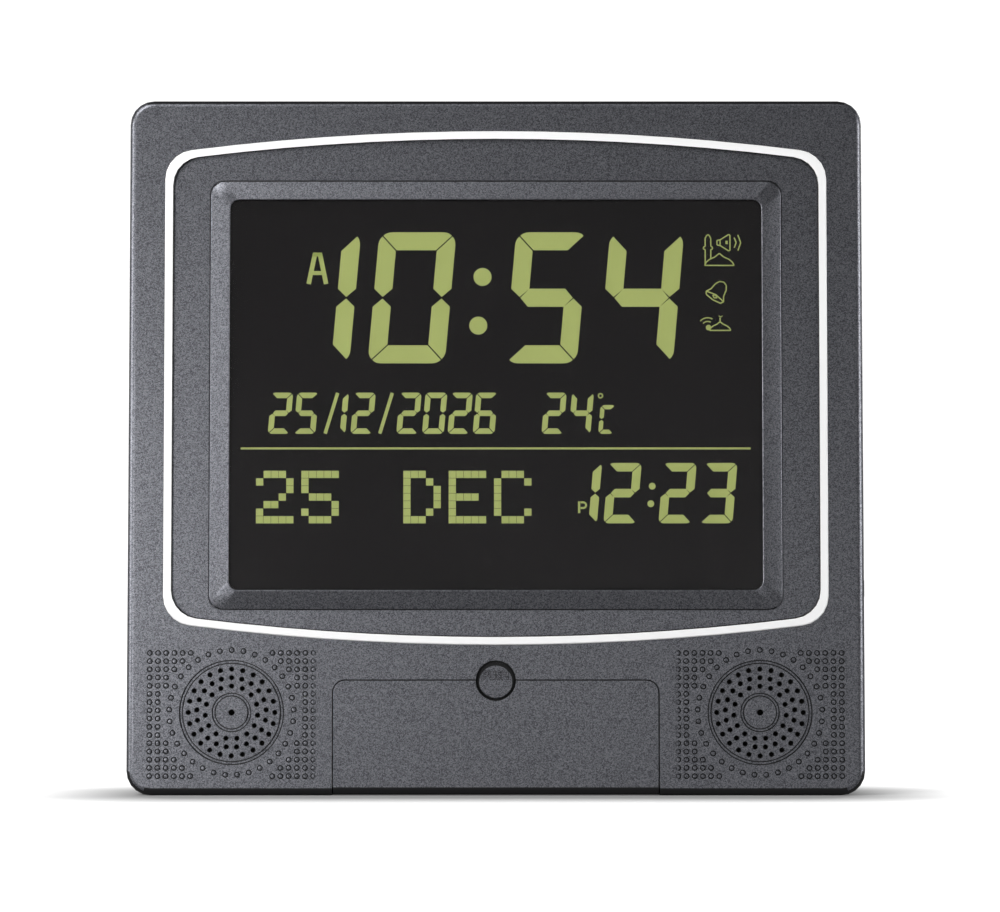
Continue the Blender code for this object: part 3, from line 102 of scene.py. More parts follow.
FLOOR_HALF = 1.6
FLOOR_RISE = 1.5
FOOTPRINT = (0.106, 0.017, 0.0)
# The lift is lowest close to the footprint, a painted shadow band round the clock's foot.
SHADE_NEAR = 0.018
SHADE_FAR = 0.068
SHADOW_BAND_LIFT = 0.06
paper = bpy.data.materials.new("white_paper_sweep")
paper.use_nodes = True
tree = paper.node_tree
tree.nodes.clear()
ray = add_node(tree, "LightPath")
seen_by = {0: ray.outputs["Is Camera Ray"], 1: ray.outputs["Is Transmission Ray"]}
seen = add_node(tree, "Math", seen_by, operation="MAXIMUM")
matt = add_node(tree, "BsdfDiffuse", {"Color": linear("#a0a0a0")})
place = add_node(tree, "TexCoord")
mirrored = add_node(tree, "VectorMath", {0: place.outputs["Object"]}, operation="ABSOLUTE")
beyond = add_node(tree, "VectorMath", {0: mirrored.outputs[0], 1: FOOTPRINT}, operation="SUBTRACT")
outside = add_node(tree, "VectorMath", {0: beyond.outputs[0], 1: (0.0, 0.0, 0.0)}, operation="MAXIMUM")
away = add_node(tree, "VectorMath", {0: outside.outputs[0]}, operation="LENGTH")
painted_shadow_fade = add_node(
    tree, "MapRange", {"Value": away.outputs["Value"], 1: SHADE_NEAR, 2: SHADE_FAR, 3: SHADOW_BAND_LIFT, 4: 1.0}
)
lift = add_node(tree, "Emission", {"Color": linear("#ffffff"), "Strength": painted_shadow_fade.outputs["Result"]})
none = add_node(tree, "Emission", {"Strength": 0.0})
chosen = add_node(tree, "MixShader", {0: seen.outputs[0], 1: none.outputs[0], 2: lift.outputs[0]})
both = add_node(tree, "AddShader", {0: matt.outputs[0], 1: chosen.outputs[0]})
add_node(tree, "OutputMaterial", {"Surface": both.outputs[0]})
bpy.ops.object.select_all(action="DESELECT")
bpy.ops.mesh.primitive_plane_add(size=2 * FLOOR_HALF, location=(0, 0, 0))
floor = bpy.context.active_object
floor.name = "paper_sweep"
bpy.ops.object.mode_set(mode="EDIT")
bpy.ops.mesh.select_all(action="DESELECT")
bpy.ops.object.mode_set(mode="OBJECT")
for edge in floor.data.edges:
    edge.select = all(floor.data.vertices[v].co.y > 0 for v in edge.vertices)
bpy.ops.object.mode_set(mode="EDIT")
bpy.ops.mesh.extrude_region_move(TRANSFORM_OT_translate={"value": (0, 0, FLOOR_RISE)})
bpy.ops.mesh.select_all(action="SELECT")
bpy.ops.mesh.normals_make_consistent(inside=False)
bpy.ops.object.mode_set(mode="OBJECT")
floor.data.materials.append(paper)

LAMPS = (
    # name, place, aimed at, width, height, watts
    ("key_softbox", (-0.62, -0.72, 0.92), (0, 0, 0.12), 0.55, 0.55, 9.0),
    ("low_left_softbox", (-0.46, -0.9, 0.10), (0, 0, 0.10), 0.35, 0.2, 2.2),
    ("top_softbox", (0.1, -0.60, 1.0), (0, 0, 0.12), 0.7, 0.3, 0.4),
    ("low_front_softbox", (0.16, -1.55, 0.03), (0, 0, 0.04), 0.5, 0.05, 0.5),
    ("back_left_softbox", (0.9, 1.1, 0.55), (0, 0.02, 0.12), 0.7, 0.7, 8.0),
    ("back_right_softbox", (-0.9, 1.2, 0.45), (0, 0.02, 0.12), 0.7, 0.7, 5.0),
    ("left_wall", (-0.95, -0.32, 0.14), (-0.1, 0, 0.12), 0.52, 0.7, 6.5),
    ("right_wall", (0.91, -0.26, 0.14), (0.1, 0, 0.12), 0.36, 0.7, 5.5),
)
for name, place, target, width, height, watts in LAMPS:
    light = bpy.data.lights.new(name, "AREA")
    light.shape = "RECTANGLE"
    light.size, light.size_y, light.energy = width, height, watts
    lamp = bpy.data.objects.new(name, light)
    lamp.location = place
    lamp.rotation_euler = (Vector(target) - Vector(place)).to_track_quat("-Z", "Y").to_euler()
    bpy.context.scene.collection.objects.link(lamp)

ROOM_LIGHT = 0.13
world = bpy.data.worlds.new("studio_air")
world.use_nodes = True
bpy.context.scene.world = world
tree = world.node_tree
tree.nodes.clear()
ray = add_node(tree, "LightPath")
dim = add_node(tree, "Background", {"Color": linear("#ffffff"), "Strength": ROOM_LIGHT})
white = add_node(tree, "Background", {"Color": linear("#ffffff"), "Strength": 1.0})
sky = add_node(tree, "MixShader", {0: ray.outputs["Is Camera Ray"], 1: dim.outputs[0], 2: white.outputs[0]})
add_node(tree, "OutputWorld", {"Surface": sky.outputs[0]})


# Front case
# A black ABS moulding whose face is sprayed with a grey metallic paint. Its grilles, pips, ring groove,
# window and key bay come from the mould. Four screws from behind hold it to the rear case.
def active(piece):
    """Selects one piece alone, for the operators."""
    bpy.ops.object.select_all(action="DESELECT")
    piece.select_set(True)
    bpy.context.view_layer.objects.active = piece


def apply_modifier(piece, kind, **settings):
    """Adds a modifier to a piece and applies it."""
    active(piece)
    modifier = piece.modifiers.new(kind.lower(), kind)
    for name, value in settings.items():
        setattr(modifier, name, value)
    bpy.ops.object.modifier_apply(modifier=modifier.name)


def take(node):
    """A new piece with its own copy of a CAD node's form, whole again where the export split it."""
    piece = bpy.data.objects.new(node + "_finished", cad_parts[node].data.copy())
    bpy.context.scene.collection.objects.link(piece)
    piece.data.materials.clear()
    active(piece)
    bpy.ops.mesh.customdata_custom_splitnormals_clear()
    bpy.ops.object.mode_set(mode="EDIT")
    bpy.ops.mesh.select_all(action="SELECT")
    bpy.ops.mesh.remove_doubles(threshold=0.001 * MM)
    bpy.ops.mesh.tris_convert_to_quads(face_threshold=math.radians(1), shape_threshold=math.radians(180))
    bpy.ops.mesh.dissolve_limited(angle_limit=math.radians(0.3))
    bpy.ops.object.mode_set(mode="OBJECT")
    return piece


def smooth(piece, angle=32):
    """Smooth shading up to a sharp edge, with the flat faces kept flat."""
    active(piece)
    bpy.ops.object.shade_smooth_by_angle(angle=math.radians(angle))
    apply_modifier(piece, "WEIGHTED_NORMAL", keep_sharp=True, weight=100)


def soften(piece, width, steps=2):
    """Breaks a piece's sharp edges, as every mould does."""
    apply_modifier(
        piece, "BEVEL", width=width, segments=steps, limit_method="ANGLE", angle_limit=math.radians(35),
        use_clamp_overlap=True, harden_normals=False,
    )


def finish_piece(piece, node, body, slot, *materials):
    """Gives a piece its materials and its body, and lets it stand for its CAD node. The slot is not used."""
    piece.data.materials.clear()
    for material in materials:
        piece.data.materials.append(material)
    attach(piece, body)
    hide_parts(node)


def plain_finish(name, colour, roughness, metallic=0.0, relief=0.0, grain=0.4 * MM, **sockets):
    """A material of one colour with a fine surface relief, and its principled shader."""
    material = bpy.data.materials.new(name)
    material.use_nodes = True
    tree = material.node_tree
    shader = tree.nodes["Principled BSDF"]
    shader.inputs["Base Color"].default_value = linear(colour)
    shader.inputs["Roughness"].default_value = roughness
    shader.inputs["Metallic"].default_value = metallic
    for socket, value in sockets.items():
        shader.inputs[socket.replace("_", " ")].default_value = value
    if relief:
        where = add_node(tree, "TexCoord")
        grains = {"Vector": where.outputs["Object"], "Scale": 1 / grain, "Detail": 3.0}
        noise = add_node(tree, "TexNoise", grains)
        bump = add_node(tree, "Bump", {"Height": noise.outputs["Fac"], "Strength": relief, "Distance": grain})
        tree.links.new(bump.outputs["Normal"], shader.inputs["Normal"])
    return material


# The real flakes are about 0.05 mm. They are drawn at 0.3 mm, which is the least that a picture shows.
FLAKE = 0.3 * MM
PAINT_DARK = "#45464b"
PAINT_LIGHT = "#828389"
PAINT_ROUGHNESS = 0.35
PAINT_METAL = 0.85
FLAKE_LEAN = 0.12
FLAKE_DEPTH = 0.1 * MM


def metallic_paint(name, dark, light):
    """Sprayed paint with aluminium flakes, each with its own lightness and lean, which gives the sparkle."""
    material = plain_finish(name, light, PAINT_ROUGHNESS, metallic=PAINT_METAL)
    tree = material.node_tree
    shader = tree.nodes["Principled BSDF"]
    where = add_node(tree, "TexCoord")
    flakes = add_node(tree, "TexVoronoi", {"Vector": where.outputs["Object"], "Scale": 1 / FLAKE})
    tone = add_node(tree, "SeparateColor", {"Color": flakes.outputs["Color"]})
    blend = add_node(tree, "Mix", {"Factor": tone.outputs["Red"]}, data_type="RGBA")
    blend.inputs[6].default_value = linear(dark)
    blend.inputs[7].default_value = linear(light)
    tree.links.new(blend.outputs[2], shader.inputs["Base Color"])
    leans = {"Height": tone.outputs["Green"], "Strength": FLAKE_LEAN, "Distance": FLAKE_DEPTH}
    bump = add_node(tree, "Bump", leans)
    tree.links.new(bump.outputs["Normal"], shader.inputs["Normal"])
    return material


grey_paint = metallic_paint("grey_metallic_paint", PAINT_DARK, PAINT_LIGHT)
black_abs_and_painted_shade = plain_finish(
    "black_moulded_abs_and_painted_shade", "#111113", 0.42, relief=0.05, grain=0.5 * MM, Specular_IOR_Level=0.35
)

front_case = take("front_case")
PIP_RADIUS = 1.05 * MM
PIP_DEPTH = 0.6 * MM
PIP_RIM = 0.34 * MM
PIP_SIDES = 16
PIP_PITCH = 2.88 * MM
PIP_COLUMNS = 21
PIPS_OUTSIDE = (6, 5, 4, 3, 3, 2, 2, 2, 2, 2, 2, 3, 3, 4, 5, 6)
PIP_DROP = 0.7 * MM
PIP_CIRCLE = 21.9 * MM
PIPS_ON_CIRCLE = 33
SPEAKER_X = 0.5 * (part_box("speaker_frame_right")[0].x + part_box("speaker_frame_right")[1].x)
SPEAKER_Z = 0.5 * (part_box("speaker_frame_right")[0].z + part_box("speaker_frame_right")[1].z)

# One cutter makes a ring-shaped dent, and leaves a pip with a nearly flat top in its middle.
bpy.ops.object.select_all(action="DESELECT")
bpy.ops.mesh.primitive_cylinder_add(
    vertices=PIP_SIDES, radius=PIP_RADIUS, depth=2 * PIP_DEPTH, rotation=(math.pi / 2, 0, 0)
)
pip = bpy.context.active_object
bpy.ops.object.transform_apply(location=False, rotation=True, scale=False)
bpy.ops.object.mode_set(mode="EDIT")
bpy.ops.mesh.select_all(action="DESELECT")
bpy.ops.object.mode_set(mode="OBJECT")
for face in pip.data.polygons:
    face.select = face.normal.y > 0.9
bpy.ops.object.mode_set(mode="EDIT")
bpy.ops.mesh.select_mode(type="FACE")
bpy.ops.mesh.inset(thickness=PIP_RIM)
for inward, rise in ((0.01 * MM, 0.46 * MM), (0.07 * MM, 0.09 * MM), (0.2 * MM, 0.04 * MM)):
    bpy.ops.mesh.inset(thickness=inward)
    bpy.ops.transform.translate(value=(0, -rise, 0))
bpy.ops.object.mode_set(mode="OBJECT")

half_row = (PIP_COLUMNS - 1) / 2
pip_places = []
for side in (-1, 1):
    for row, outside in enumerate(PIPS_OUTSIDE):
        high = SPEAKER_Z - PIP_DROP + ((len(PIPS_OUTSIDE) - 1) / 2 - row) * PIP_PITCH
        for column in range(PIP_COLUMNS):
            if min(column, PIP_COLUMNS - 1 - column) < outside:
                pip_places.append((side * SPEAKER_X + (column - half_row) * PIP_PITCH, high))
    for step in range(PIPS_ON_CIRCLE):
        turn = 2 * math.pi * step / PIPS_ON_CIRCLE
        across, up = PIP_CIRCLE * math.sin(turn), PIP_CIRCLE * math.cos(turn)
        pip_places.append((side * SPEAKER_X + across, SPEAKER_Z + up))


def copies(piece, places):
    """Copies a piece to each place, each copy with its own mesh, and joins them into one."""
    made = []
    for x, z in places:
        made.append(bpy.data.objects.new(piece.name, piece.data.copy()))
        made[-1].location = (x, piece.location.y, z)
        bpy.context.scene.collection.objects.link(made[-1])
    bpy.ops.object.select_all(action="DESELECT")
    for copy in made:
        copy.select_set(True)
    bpy.context.view_layer.objects.active = made[0]
    bpy.ops.object.join()
    bpy.ops.object.transform_apply(location=True, rotation=True, scale=True)
    bpy.data.objects.remove(piece)
    return made[0]


pip.location.y = FRONT
pips = copies(pip, pip_places)

# Each sound hole is a little wider at its mouth, where the mould's pins are stepped.
MOUTH_RADIUS = 0.95 * MM
MOUTH_DEPTH = 0.8 * MM
MOUTH_SIDES = 14
HOLE_RINGS = ((9.24 * MM, 15), (12.2 * MM, 21), (15.2 * MM, 24))
mouth_places = [
    (side * SPEAKER_X + radius * math.sin(2 * math.pi * i / count),
     SPEAKER_Z + radius * math.cos(2 * math.pi * i / count))
    for side in (-1, 1) for radius, count in HOLE_RINGS for i in range(count)
]
bpy.ops.object.select_all(action="DESELECT")
bpy.ops.mesh.primitive_cylinder_add(
    vertices=MOUTH_SIDES, radius=MOUTH_RADIUS, depth=2 * MOUTH_DEPTH, rotation=(math.pi / 2, 0, 0)
)
mouth = bpy.context.active_object
bpy.ops.object.transform_apply(location=False, rotation=True, scale=False)
mouth.location.y = FRONT
mouths = copies(mouth, mouth_places)
apply_modifier(front_case, "BOOLEAN", operation="DIFFERENCE", solver="MANIFOLD", object=mouths)
bpy.data.objects.remove(mouths)

# A fine line is cut along both edges of each ring of the grille.
GRILLE_LINES = (18.45 * MM, 17.45 * MM, 6.95 * MM, 6.0 * MM)
GRILLE_LINE = 0.4 * MM
GRILLE_LINE_DEPTH = 0.9 * MM
GRILLE_SIDES = 96
for radius in GRILLE_LINES:
    bpy.ops.object.select_all(action="DESELECT")
    bpy.ops.mesh.primitive_circle_add(
        vertices=GRILLE_SIDES, radius=radius, fill_type="NGON", rotation=(math.pi / 2, 0, 0)
    )
    line = bpy.context.active_object
    bpy.ops.object.transform_apply(location=False, rotation=True, scale=False)
    bpy.ops.object.mode_set(mode="EDIT")
    bpy.ops.mesh.select_all(action="SELECT")
    bpy.ops.mesh.inset(thickness=GRILLE_LINE)
    bpy.ops.mesh.delete(type="FACE")
    bpy.ops.mesh.select_all(action="SELECT")
    bpy.ops.mesh.extrude_region_move(TRANSFORM_OT_translate={"value": (0, 2 * GRILLE_LINE_DEPTH, 0)})
    bpy.ops.mesh.select_all(action="SELECT")
    bpy.ops.mesh.normals_make_consistent(inside=False)
    bpy.ops.object.mode_set(mode="OBJECT")
    line.location.y = FRONT - GRILLE_LINE_DEPTH
    lines = copies(line, [(side * SPEAKER_X, SPEAKER_Z) for side in (-1, 1)])
    apply_modifier(front_case, "BOOLEAN", operation="DIFFERENCE", solver="MANIFOLD", object=lines)
    bpy.data.objects.remove(lines)
apply_modifier(front_case, "BOOLEAN", operation="DIFFERENCE", solver="MANIFOLD", object=pips)
bpy.data.objects.remove(pips)
smooth(front_case)
finish_piece(front_case, "front_case", "case", "shell_grey", grey_paint, black_abs_and_painted_shade)
half_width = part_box("front_case")[1].x
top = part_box("front_case")[1].z
# The black bands along the case's top, sides and foot, and in its narrow grooves and pip rings, are painted shade.
TOP_EDGE_SHADE_REACH = 1.1 * MM
SIDE_EDGE_SHADE_REACH = 0.75 * MM
FOOT_SHADE_REACH = 2.5 * MM
UNSPRAYED_AND_SHADE_DEPTH = 1.7 * MM
GROOVE_SHADE_REACH = 0.56 * MM
PIP_SHADE_REACH = 0.2 * MM
GRILLE_RADIUS = 19.5 * MM
GRILLE_FIELD = 0.056
# How far a face may turn from straight ahead (-1) and still take paint, in general and along the case's edge. Faces
# turned further are made black, as painted shade in the gaps and on the rounded edge.
PAINTED = -0.4
EDGE_SHADE_TURN = -0.97


def blacken_unsprayed_and_shaded(piece, limit=PAINTED):
    """Makes a piece black deep inside, where the spray doesn't reach, and as painted shade on the rounded bands at
    its top, sides and foot, on its gap walls and in its narrow grooves.
    """
    for face in piece.data.polygons:
        x, y, z = face.center
        deep = y - FRONT
        edge = abs(x) > half_width - SIDE_EDGE_SHADE_REACH or z > top - TOP_EDGE_SHADE_REACH or z < FOOT_SHADE_REACH
        narrow = False
        if z < GRILLE_FIELD and abs(x) > SPEAKER_X - GRILLE_FIELD / 2 - PIP_DROP:
            in_grille = math.hypot(abs(x) - SPEAKER_X, z - SPEAKER_Z) < GRILLE_RADIUS
            narrow = deep > (GROOVE_SHADE_REACH if in_grille else PIP_SHADE_REACH)
        turned_away = face.normal.y > limit or (edge and face.normal.y > EDGE_SHADE_TURN)
        if deep > UNSPRAYED_AND_SHADE_DEPTH or narrow or turned_away:
            face.material_index = 1


# Its edge bands, gap walls and groove floors take the black as painted shade.
blacken_unsprayed_and_shaded(front_case)


# Trim ring
# A thin band of ABS with bright silver plating, pressed into the groove round the display. Its proud part is
# a little wider than its foot. The plating covers its face and outer edge, and its inner edge is made black as a
# painted shadow line.
chrome = plain_finish("bright_silver_plating", "#fefefe", 0.32, metallic=0.05)
RING_LIP = 0.18 * MM
RING_FACE_TURN = -0.9
OUTER_EDGE_PLATED = -0.3
trim_ring = take("trim_ring")
ring_z = 0.5 * (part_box("trim_ring")[0].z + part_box("trim_ring")[1].z)
chamfers = [face for face in trim_ring.data.polygons if RING_FACE_TURN < face.normal.y < OUTER_EDGE_PLATED]
pushed = {}
for face in chamfers:
    for index in face.vertices:
        pushed[index] = pushed.get(index, Vector()) + Vector((face.normal.x, 0, face.normal.z))
for index, push in pushed.items():
    trim_ring.data.vertices[index].co += RING_LIP * push.normalized()
smooth(trim_ring)
finish_piece(trim_ring, "trim_ring", "case", "trim_bright", chrome, black_abs_and_painted_shade)
# The inner edge's faces take the black as a painted shadow line.
for face in trim_ring.data.polygons:
    outward = face.normal.x * face.center.x + face.normal.z * (face.center.z - ring_z) > 0
    if face.normal.y > (OUTER_EDGE_PLATED if outward else RING_FACE_TURN):
        face.material_index = 1

# Display bezel
# A moulded ABS frame with sloping sides, sprayed with the same metallic paint and glued into its rebate.
# The paint reaches round its upright edges; those at its top and foot are made black as a painted shadow line.
UPRIGHT_EDGE_TURN = -0.45
LEVEL_EDGE_SHADE_TURN = -0.93
lcd_bezel = take("lcd_bezel")
soften(lcd_bezel, 0.4 * MM, 3)
smooth(lcd_bezel)
finish_piece(lcd_bezel, "lcd_bezel", "case", "bezel_grey", grey_paint, black_abs_and_painted_shade)
# Edges at the top and foot take the black as a painted shadow line.
for face in lcd_bezel.data.polygons:
    upright = abs(face.normal.x) > abs(face.normal.z)
    if face.normal.y > (UPRIGHT_EDGE_TURN if upright else LEVEL_EDGE_SHADE_TURN):
        face.material_index = 1

# Display lens, display glass and backlight
# A clear acrylic lens in the bezel, and behind it the black glass of a negative LCD on its diffuser.
clear_acrylic = plain_finish("clear_acrylic", "#ffffff", 0.03, Transmission_Weight=1.0, IOR=1.49)
black_glass = plain_finish("black_display_glass", "#120f10", 0.3, Specular_IOR_Level=0.1)
diffuser = plain_finish("white_diffuser_acrylic", "#e8e8e2", 0.55, relief=0.05)
for node, material in (
    ("display_lens", clear_acrylic), ("lcd_panel", black_glass), ("backlight_panel", diffuser),
):
    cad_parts[node].data.materials[0] = material

# Display figures
# The lit areas of the LCD: figures of seven bars, a matrix of square dots, signs and a dividing line.
# They are clear windows in the black glass that the yellow-green light behind shines through.
LIT_GREEN = "#9ba55c"
lit_green = plain_finish(
    "lit_yellow_green", LIT_GREEN, 0.5, Emission_Color=linear(LIT_GREEN), Emission_Strength=0.35
)
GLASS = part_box("lcd_panel")[0].y
GLASS_X = 0.0
GLASS_Z = 0.5 * (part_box("lcd_panel")[0].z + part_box("lcd_panel")[1].z)
FIGURE_THICKNESS = 0.1 * MM
FIGURE_LIFT = 0.05 * MM
SLANT = 0.088
BARS = {
    "0": "abcdef", "1": "bc", "2": "abged", "3": "abgcd", "4": "fgbc", "5": "afgcd", "6": "afgedc", "C": "afed",
}
figures = []


def plate(points):
    """A thin plate on the glass, drawn round its points, which are in mm from the middle of the glass."""
    bpy.ops.object.select_all(action="DESELECT")
    bpy.ops.mesh.primitive_circle_add(vertices=len(points), radius=1, fill_type="NGON")
    piece = bpy.context.active_object
    for vertex, (x, z) in zip(piece.data.vertices, points):
        vertex.co = (GLASS_X + x * MM, GLASS - FIGURE_LIFT, GLASS_Z + z * MM)
    bpy.ops.object.mode_set(mode="EDIT")
    bpy.ops.mesh.select_all(action="SELECT")
    bpy.ops.mesh.extrude_region_move(TRANSFORM_OT_translate={"value": (0, -FIGURE_THICKNESS, 0)})
    bpy.ops.mesh.select_all(action="SELECT")
    bpy.ops.mesh.normals_make_consistent(inside=False)
    bpy.ops.object.mode_set(mode="OBJECT")
    piece.location = (0, 0, 0)
    figures.append(piece)


def lean(points, foot, slant=SLANT):
    """Points leant over by the slant, about the height of the foot."""
    return [(x + slant * (z - foot), z) for x, z in points]


def figure(sign, left, right, low, high, width, gap, corner):
    """A figure of seven bars with rounded outer corners, between the edges that it has at mid height."""
    middle, centre = (low + high) / 2, (left + right) / 2
    reach, rise = (right - left) / 2, (high - low) / 2
    # The end bar runs from one corner's diagonal to the other, and the side bar from there to mid height.
    turns = [math.radians(degrees) for degrees in (0, 15, 30, 45, 60, 75, 90)]
    curve = [(reach - corner + corner * math.sin(turn), rise - corner + corner * math.cos(turn)) for turn in turns]
    end_bar = [(-x + gap, z) for x, z in curve[3::-1]] + [(x - gap, z) for x, z in curve[:4]]
    end_bar += [(reach - width - gap, rise - width), (-reach + width + gap, rise - width)]
    side_bar = [(x, z - gap) for x, z in curve[3:]]
    side_bar += [(reach, 0.5 * width), (reach - 0.5 * width, gap), (reach - width, 0.5 * width)]
    side_bar += [(reach - width, rise - width - gap)]
    tip, shoulder = reach - 0.5 * width - gap, reach - width
    middle_bar = [(-tip, 0), (-shoulder, 0.5 * width), (shoulder, 0.5 * width), (tip, 0)]
    middle_bar += [(shoulder, -0.5 * width), (-shoulder, -0.5 * width)]
    turned = {"a": (end_bar, 1, 1), "d": (end_bar, 1, -1), "b": (side_bar, 1, 1), "f": (side_bar, -1, 1),
              "c": (side_bar, 1, -1), "e": (side_bar, -1, -1), "g": (middle_bar, 1, 1)}
    for name in BARS[sign]:
        points, across, up = turned[name]
        plate(lean([(centre + across * x, middle + up * z) for x, z in points], middle))


def dot(x, z, radius, sides=20):
    """A round dot."""
    turns = [2 * math.pi * i / sides for i in range(sides)]
    plate([(x + radius * math.sin(turn), z + radius * math.cos(turn)) for turn in turns])


def stroke(points, width):
    """A run of short bars of one width, for letters and for the lines of the signs."""
    for start, end in zip(points, points[1:]):
        (x0, z0), (x1, z1) = start, end
        length = math.hypot(x1 - x0, z1 - z0)
        nx, nz = -(z1 - z0) / length * width / 2, (x1 - x0) / length * width / 2
        plate([(x0 + nx, z0 + nz), (x1 + nx, z1 + nz), (x1 - nx, z1 - nz), (x0 - nx, z0 - nz)])


def arc(x, z, radius, start, end, steps=10):
    """Points on an arc, by degrees from straight up and clockwise."""
    turns = [math.radians(start + (end - start) * i / steps) for i in range(steps + 1)]
    return [(x + radius * math.sin(turn), z + radius * math.cos(turn)) for turn in turns]


BIG_LOW, BIG_HIGH, BIG_BAR, BIG_GAP, BIG_CORNER = 11.1, 57.7, 6.4, 0.3, 4.2
for sign, left, right in (("1", -73.5, -49.5), ("0", -43.6, -15.7), ("5", 4.9, 31.0), ("4", 38.2, 65.0)):
    figure(sign, left + 0.3, right - 0.3, BIG_LOW, BIG_HIGH, BIG_BAR, BIG_GAP, BIG_CORNER)
for x, z in ((-4.7, 41.8), (-6.2, 24.5)):
    dot(x, z, 3.2)
DATE_LOW, DATE_HIGH, DATE_BAR, DATE_GAP, DATE_CORNER = -13.9, 0.7, 1.95, 0.2, 1.3
DATE_HALF = 3.85
for sign, middle in (
    ("2", -76.1), ("5", -67.0), ("1", -56.4), ("2", -46.9), ("2", -30.7), ("0", -21.6), ("2", -12.6),
    ("6", -3.7), ("2", 20.6), ("4", 30.2),
):
    figure(sign, middle - DATE_HALF, middle + DATE_HALF, DATE_LOW, DATE_HIGH, DATE_BAR, DATE_GAP, DATE_CORNER)
SLASH_LEAN = 2.2
for middle in (-58.1, -38.8):
    stroke([(middle - SLASH_LEAN, DATE_LOW + 0.1), (middle + SLASH_LEAN, DATE_HIGH - 0.1)], 1.2)
figure("C", 36.6, 42.0, DATE_LOW, -3.7, 1.5, DATE_GAP, DATE_CORNER)
stroke(arc(37.0, -0.4, 0.75, 0, 360, 14), 0.5)
plate([(-90.1, -19.4), (90.0, -19.4), (90.0, -18.7), (-90.1, -18.7)])
SMALL_LOW, SMALL_HIGH, SMALL_BAR, SMALL_GAP, SMALL_CORNER = -45.5, -24.2, 3.0, 0.2, 1.6
for sign, left, right in (("1", 25.2, 36.6), ("2", 38.9, 50.6), ("2", 58.3, 70.0), ("3", 72.9, 84.4)):
    figure(sign, left, right, SMALL_LOW, SMALL_HIGH, SMALL_BAR, SMALL_GAP, SMALL_CORNER)
for x, z in ((55.2, -32.4), (54.7, -38.6)):
    dot(x, z, 1.2)

# Dot matrix: five by seven square dots to a letter.
DOT_PITCH = 2.67
DOT_HALF = 1.27
MATRIX_TOP = -26.9
LETTERS = {
    "2": (".###.", "#...#", "....#", "...#.", ".##..", "#....", "#####"),
    "5": ("#####", "#....", "#....", ".###.", "....#", "#...#", ".###."),
    "D": ("###..", "#..#.", "#...#", "#...#", "#...#", "#..#.", "###.."),
    "E": ("#####", "#....", "#....", "####.", "#....", "#....", "#####"),
    "C": (".###.", "#...#", "#....", "#....", "#....", "#...#", ".###."),
}
for letter, left in (("2", -84.7), ("5", -68.7), ("D", -32.7), ("E", -16.7), ("C", -0.7)):
    for row, line in enumerate(LETTERS[letter]):
        for column, mark in enumerate(line):
            if mark == "#":
                x = left + (column + 0.5) * DOT_PITCH
                z = MATRIX_TOP - (row + 0.5) * DOT_PITCH
                corners = ((-1, -1), (1, -1), (1, 1), (-1, 1))
                plate([(x + dx * DOT_HALF, z + dz * DOT_HALF) for dx, dz in corners])


# The letters A and P, for morning and afternoon.
stroke([(-66.3, 39.3), (-64.0, 50.3)], 1.6)
stroke([(-62.4, 50.3), (-60.1, 39.3)], 1.6)
stroke([(-64.6, 49.8), (-61.8, 49.8)], 1.3)
stroke([(-65.0, 43.2), (-61.4, 43.2)], 1.4)
stroke([(29.4, -41.9), (29.4, -37.8)], 0.8)
stroke([(29.9, -38.1), (31.0, -38.1)], 0.7)
stroke(arc(30.9, -39.1, 1.0, 0, 180, 6), 0.7)
stroke([(29.9, -40.1), (31.0, -40.1)], 0.7)

# Signs, drawn in line: a minaret and a dome with a loudspeaker, an alarm bell, and a dome with a beacon.
LINE = 0.42
DOME = [
    (-5.2, 0.0), (-4.6, 1.2), (-3.4, 2.2), (-1.6, 3.0), (0.0, 4.3), (1.6, 3.0), (3.4, 2.2), (4.6, 1.2), (5.2, 0.0),
]


def sign_line(points, x, z, size=1.0, turn=0.0, width=LINE):
    """A line of a sign, moved to its place, and turned by so many degrees."""
    cosine, sine = math.cos(math.radians(turn)), math.sin(math.radians(turn))
    turned = [(cosine * a - sine * b, sine * a + cosine * b) for a, b in points]
    stroke([(x + size * across, z + size * up) for across, up in turned], width)


sign_line([(0, 0), (0, 5.6), (-0.6, 5.9), (-0.6, 6.5), (0, 6.8), (0, 9.6), (0.5, 10.6), (1.0, 11.0), (1.5, 10.6),
           (2.0, 9.6), (2.0, 6.8), (2.6, 6.5), (2.6, 5.9), (2.0, 5.6), (2.0, 2.4)], 74.2, 45.9)
sign_line(DOME + [DOME[0]], 79.2, 45.9)
sign_line([(0, 0.9), (0, 2.5), (1.1, 2.7), (4.1, 4.6), (4.6, 4.4), (4.6, -1.0), (4.1, -1.2), (1.1, 0.7), (0, 0.9)],
          78.4, 52.3)
sign_line([(1.1, 0.8), (1.1, 2.6)], 78.4, 52.3)
sign_line([(3.4, 1.2), (3.4, 2.4)], 78.4, 52.3, width=0.8)
sign_line([(0, -1.8), (0.7, 0), (0, 1.8)], 84.5, 54.0)
sign_line([(0, -2.8), (1.0, 0), (0, 2.8)], 85.8, 54.0)
BELL = [(-1.4, 5.6), (-2.2, 4.2), (-2.6, 1.8), (-3.6, 0.2), (-3.0, -0.8), (0.0, -1.2), (3.0, -0.8), (3.6, 0.2),
        (2.6, 1.8), (2.2, 4.2), (1.4, 5.6), (0.0, 6.2), (-1.4, 5.6)]
sign_line(BELL, 77.5, 34.7, turn=-32)
sign_line([(-3.6, 0.2), (0.0, 0.9), (3.6, 0.2)], 77.5, 34.7, turn=-32)
sign_line([(-0.9, 0.2), (0.0, -0.4), (0.9, 0.2), (0.0, 0.7), (-0.9, 0.2)], 77.5, 34.7, turn=-32)
sign_line(DOME + [DOME[0]], 79.4, 22.8, size=0.72)
